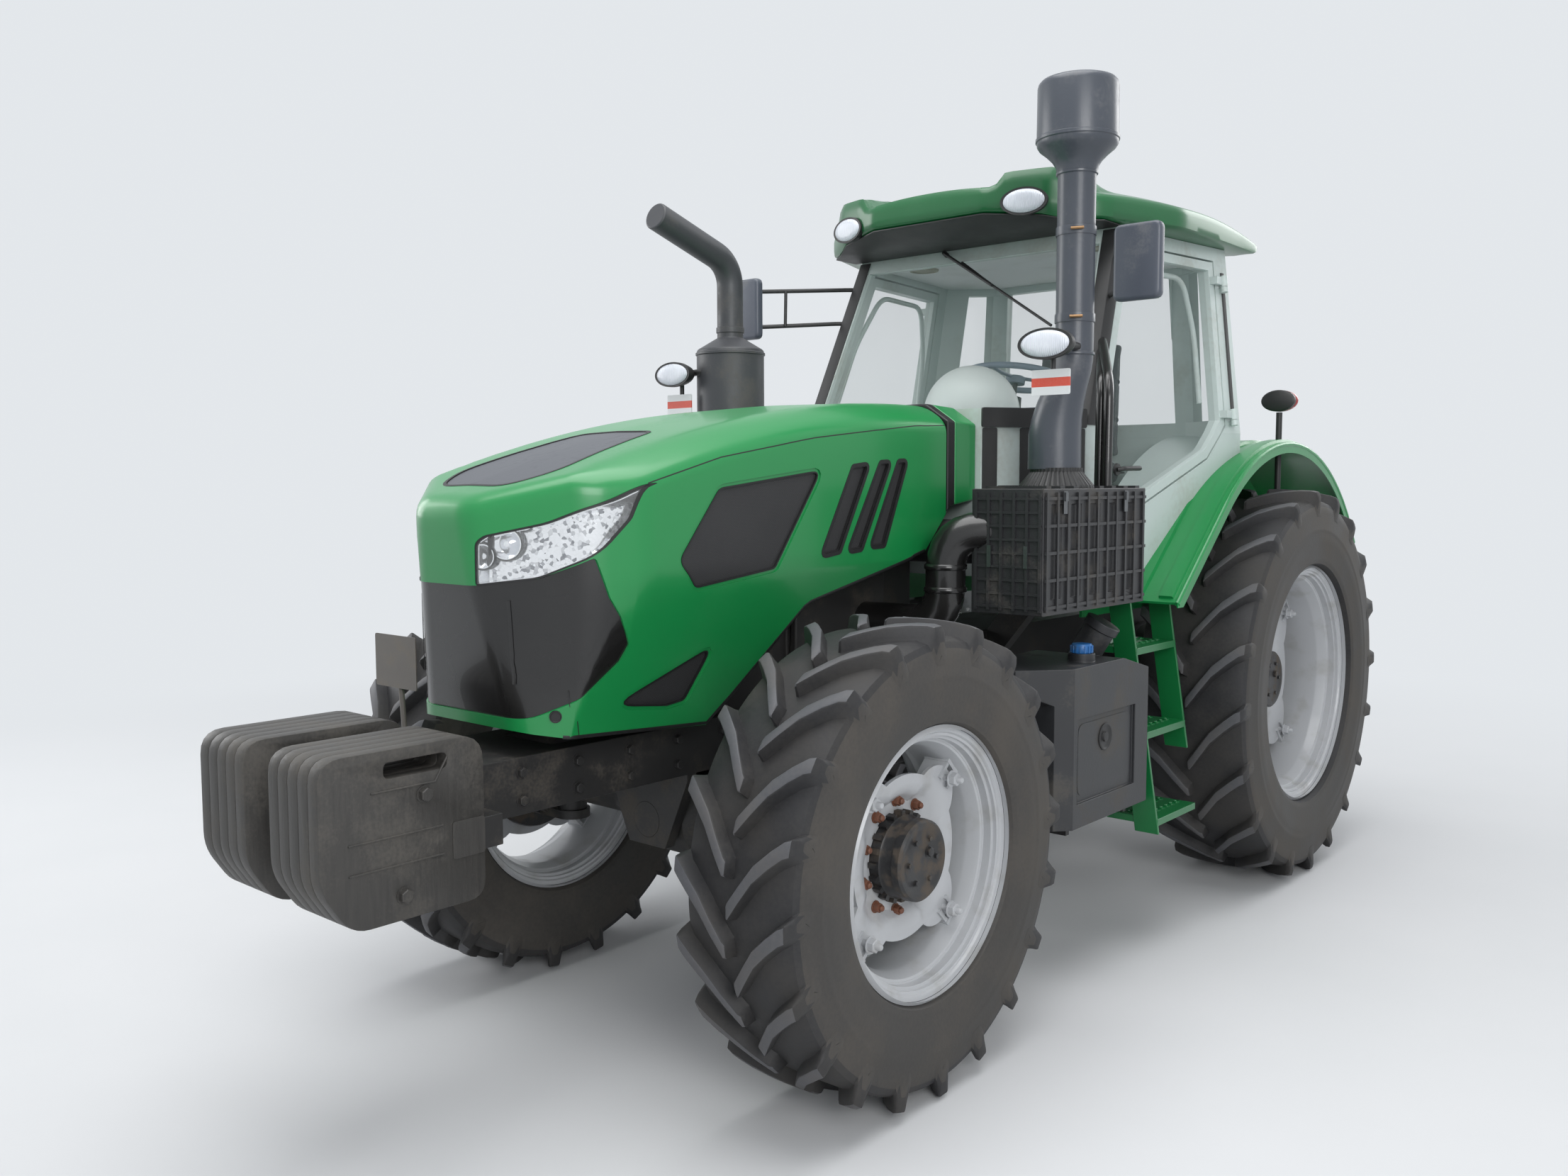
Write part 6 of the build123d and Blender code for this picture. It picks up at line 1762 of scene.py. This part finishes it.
lens_rings = ((0.010, 0.93), (0.002, 0.93), (-0.006, 0.90), (-0.011, 0.78), (-0.014, 0.55), (-0.015, 0.20))
shell_rings = ((-0.004, 0.94), (-0.005, 1.0), (0.012, 1.0), (0.040, 0.86), (0.060, 0.60), (0.066, 0.30))
lens_parts, shell_parts, plate_parts, bracket_parts, red_parts = [], [], [], [], []
for side, sign in sides:
    x = sign * 0.835
    for spot, wide, high, turn in (
        ((x, cab_y + 0.748, 2.132), 0.094, 0.046, 0.0),
        ((sign * 0.408, cab_y + 1.330, 2.724), 0.086, 0.047, sign * math.radians(14)),
    ):
        lens_parts.append(oval(lens_rings, wide, high, spot, turn))
        shell_parts.append(oval(shell_rings, wide + 0.003, high + 0.003, spot, turn))
    # The left arm meets the intake stack, and the right arm the muffler.
    inner_x, end_y = (0.835, cab_y + 0.936) if sign > 0 else (-0.700, cab_y + 0.807)
    arm_z = 2.140
    bracket_parts += [
        tube([(x, cab_y + 0.800, 2.100), (x, cab_y + 0.800, 1.985)], 0.009),
        tube([(x, cab_y + 0.790, 2.132), (x, cab_y + 0.822, arm_z), (x, cab_y + 0.860, arm_z)], 0.014),
        tube([(x, cab_y + 0.850, arm_z), ((x + inner_x) / 2, end_y, arm_z), (inner_x, end_y + 0.02, arm_z)],
             0.013, 0.03),
    ]
    tail = Vector((sign * 0.800, cab_y + 2.853, 2.054))
    for facing, group in ((-1, shell_parts), (1, red_parts)):
        profile = [(0.0, 0.0560), (facing * 0.004, 0.0585), (facing * 0.022, 0.0585), (facing * 0.029, 0.050),
                   (facing * 0.031, 0.0001)]
        rows = spun(profile, 32)
        group.append(([Vector((p.z * 1.25, p.x, p.y * 0.80)) + tail for p in rows[0]], rows[1]))
    bracket_parts.append(tube([tail - Vector((0, 0, 0.05)), (tail.x, tail.y, 1.560)], 0.013))
    outline = rectangle(x - 0.068, x + 0.068, 1.975, 2.055, 0.006)
    plate_parts.append(prism(outline, "y", cab_y + 0.784, cab_y + 0.788))
fixed("lamp_lenses", lens_parts, shine_painted_lens, "lamp_lens", 50)
lamp_shells = fixed("lamp_shells", shell_parts, black_trim, "lamp_housing", 50)
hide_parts("work_lamps")
brackets = fixed("lamp_brackets", bracket_parts, black_trim, "lamp_housing", 50)
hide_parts("work_lamps")
fixed("tail_lenses", red_parts, red_lens, "lamp_lens", 50)


def marker_finish():
    """Reflective sheet in three level bands: white, red, white."""
    finish = Finish("marker_sheet", Roughness=0.35, Coat_Weight=0.3)
    height = finish.axis("Z")
    band = finish.above(height, 2.0005, 2.0015) * (1.0 - finish.above(height, 2.0285, 2.0295))
    fine = finish.grain(200.0)
    paint = finish.blend(band, srgb(220, 223, 225), srgb(206, 62, 34))
    finish.feed("Base Color", finish.blend(fine * 0.15, paint, srgb(190, 186, 182)))
    finish.bump(fine, 0.0003, 0.3)
    return finish


fixed("marker_plates", plate_parts, marker_finish(), "lamp_housing", 30)

# ---------------------------------------------------------------- mirrors
# Upright oblong mirrors in moulded blue-grey shells, each on a pair of bent tubes
# clamped to the cab's front post.
mirror_grey = worn_paint(
    "mirror_plastic", srgb(74, 79, 90), srgb(86, 91, 101), srgb(112, 113, 115), 0.36, 8.0)
shell_list, arm_list, pane_list = [], [], []
for side, sign in sides:
    middle = sign * 0.900
    outline = rectangle(middle - 0.086, middle + 0.086, 2.312, 2.568, 0.026)
    mesh = formed(prism(outline, "y", cab_y + 1.228, cab_y + 1.270), [edged(0.014, 4, 40)])
    shell_list.append(part_of(mesh))
    pane_list.append(prism(shrunk(outline, 0.012), "y", cab_y + 1.2702, cab_y + 1.2725))
    for z in (2.520, 2.370):
        root = post_corner(z + 0.02)
        arm_list.append(tube([(sign * 0.880, cab_y + 1.266, z), (sign * 0.860, cab_y + 1.300, z),
                              (sign * (root.x + 0.030), root.y - 0.008, z + 0.02),
                              (sign * (root.x + 0.002), root.y + 0.02, z + 0.02)], 0.009, 0.03))
    arm_list.append(tube([(sign * 0.790, cab_y + 1.385, 2.524), (sign * 0.785, cab_y + 1.375, 2.374)], 0.007))
shells = fixed("mirror_shells", shell_list, mirror_grey, "lamp_housing", 40)
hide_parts("mirrors")
mirror_arms = fixed("mirror_arms", arm_list, black_trim, "lamp_housing", 60)
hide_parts("mirrors")
silvered = speckled("mirror_glass", 6.0, srgb(206, 212, 216), srgb(196, 202, 208),
                    Metallic=1.0, Roughness=0.05)
fixed("mirror_panes", pane_list, silvered, "glass_tint", 30)

# ---------------------------------------------------------------- driver's place
# A white moulded console with a rounded instrument dome, a three-spoke grey hand
# wheel on its column, and the steel box that carries the seat behind.
dash_white = worn_paint(
    "dash_plastic", srgb(220, 227, 225), srgb(212, 220, 218), srgb(200, 203, 200), 0.45, 5.0)


def dome_form():
    """A smooth rounded hood over the instruments."""
    centre, steps, rows = Vector((0.0, cab_y + 1.625, 1.975)), 48, 14
    half_wide, half_long, tall = 0.205, 0.170, 0.200
    corners = []
    climbs = [math.pi * k / (2 * rows) for k in range(rows)]
    rings = [(1.0, -0.020)] + [(math.cos(climb), tall * math.sin(climb)) for climb in climbs]
    for reach, rise in rings:
        for k in range(steps):
            turn = math.tau * k / steps
            across, back = half_wide * reach * math.cos(turn), half_long * reach * math.sin(turn)
            corners.append(centre + Vector((across, back, rise)))
    return corners, between_rings(len(rings), steps)


low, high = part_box("dashboard")
console_outline = rectangle(-0.105, 0.105, cab_y + 1.602, cab_y + 1.878, 0.04)
console = formed(prism(console_outline, "z", low.z, cab_waist + 0.058), [edged(0.012, 3, 40)])
dash_form = joined([dome_form(), part_of(console)])
dash = piece("dashboard_moulding", *dash_form, dash_white, "chassis", "dash_plastic", 40)
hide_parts("dashboard")
wheel_hub = Vector((0, cab_y + 1.970, cab_waist + 0.245))
tilt = math.radians(11.6)
wheel_up = Vector((0, math.sin(tilt), math.cos(tilt)))
column = spun([(-0.240, 0.0001), (-0.240, 0.040), (-0.085, 0.034), (-0.078, 0.011), (-0.0103, 0.011),
               (-0.0103, 0.0001)], 24)
piece("steering_column", *aimed(column, wheel_hub, wheel_up), black_trim, "chassis", "dash_plastic", 40)
wheel_grey = worn_paint(
    "wheel_grip", srgb(140, 154, 168), srgb(128, 142, 156), srgb(120, 126, 130), 0.42, 20.0)
grip_radius, hoop_radius = 0.0135, 0.205
grip_turns = [math.tau * k / 12 for k in range(12)]
grip_section = [(grip_radius * math.cos(turn), hoop_radius + grip_radius * math.sin(turn))
                for turn in grip_turns]
boss_section = [(-0.0255, 0.0130), (-0.0255, 0.040), (0.000, 0.042), (0.006, 0.036), (0.008, 0.0001)]
hand_parts = [spun(grip_section, 64, closed=True), spun(boss_section, 32)]
for angle in (90, 210, 330):
    arm = tube([(0.0, 0.030, 0), (-0.006, 0.110, 0), (0.0, 0.200, 0)], 0.0075, 0.06)
    hand_parts.append(turned_about_x(arm, math.radians(angle)))
hand = aimed(joined(hand_parts), wheel_hub, wheel_up)
hand_wheel = piece("hand_wheel", *hand, wheel_grey, "steering_wheel", "dash_plastic", 45)
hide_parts("steering_wheel")
softened("seat_base", 0.006, link_black)

# ---------------------------------------------------------------- seat
# A foam seat and backrest in dark grey woven cloth, blown full against their sewn
# covers, with piped seams round the edge and two stitched channels across.


def cloth_finish():
    """Plain-woven seat cloth: two crossed threads, slightly rubbed."""
    finish = Finish("seat_cloth", Roughness=0.9, Sheen_Weight=0.25)
    threads = 2600.0
    across = (finish.axis("X") * threads).maths("SINE")
    down = ((finish.axis("Y") + finish.axis("Z")) * threads).maths("SINE")
    weave = across * down
    rub = finish.grain(7.0, 4.0)
    cloth = finish.blend(finish.above(weave, -0.4, 0.6), srgb(46, 48, 54), srgb(66, 69, 76))
    finish.feed("Base Color", finish.blend(rub * 0.4, cloth, srgb(86, 88, 94)))
    finish.bump(weave, 0.0008, 0.6)
    return finish


seat_cloth = cloth_finish()
voxel, swell_limit, channel_depth = 0.006, 0.012, 0.010
blown_frames = 20


def cushion(name, part, channels, axis):
    """A padded cushion: blown up as cloth from a tight form, then sewn across."""
    mesh = formed(part, [edged(0.030, 4, 40)])
    mesh = formed(part_of(mesh), [("REMESH", {"mode": "VOXEL", "voxel_size": voxel})])
    start = [corner.co.copy() for corner in mesh.vertices]
    blown = added("cushion_blank", mesh)
    cloth = blown.modifiers.new("cloth", "CLOTH")
    cloth.settings.use_pressure = True
    cloth.settings.uniform_pressure_force = 4.0
    cloth.settings.effector_weights.gravity = 0.0
    cloth.point_cache.frame_start = 1
    cloth.point_cache.frame_end = blown_frames
    for moment in range(1, blown_frames + 1):
        bpy.context.scene.frame_set(moment)
    graph = bpy.context.evaluated_depsgraph_get()
    mesh = bpy.data.meshes.new_from_object(blown.evaluated_get(graph))
    bpy.data.objects.remove(blown)
    bpy.context.scene.frame_set(1)
    for corner, first in zip(mesh.vertices, start):
        moved = corner.co - first
        if moved.length > swell_limit:
            corner.co = first + moved.normalized() * swell_limit
    mesh.update()
    for corner in mesh.vertices:
        near = min(abs(corner.co[axis] - at) for at in channels)
        dent = channel_depth * math.exp(-(near / channel_depth) ** 2)
        corner.co -= corner.normal * dent
    mesh.update()
    mesh = formed(part_of(mesh), [("SUBSURF", {"levels": 1})])
    thing = settled(name, mesh, seat_cloth, "chassis", 80)
    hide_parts("seat_cushions")
    return thing


seat_plan = rounded([(x, cab_y + y) for x, y in (
    (-0.222, 2.168), (0.222, 2.168), (0.222, 2.452), (0.222, 2.542), (-0.222, 2.542), (-0.222, 2.452))], 0.05)
cushion("seat_cushion", prism(seat_plan, "z", 1.700, 1.788), (cab_y + 2.270, cab_y + 2.370), 1)
back_line = rounded([(cab_y + y, z) for y, z in (
    (2.474, 1.812), (2.546, 1.812), (2.566, 2.328), (2.522, 2.328))], 0.02)
cushion("seat_back", prism(back_line, "x", -0.204, 0.204), (1.980, 2.150), 2)
piping_z = 1.744
piping_line = [(x, cab_y + y, piping_z) for x, y in (
    (-0.236, 2.160), (0.236, 2.160), (0.236, 2.550), (-0.236, 2.550), (-0.236, 2.160))]
piece("seat_piping", *tube(piping_line, 0.0035, 0.05, 8), black_trim, "chassis", "seat_cloth", 60)
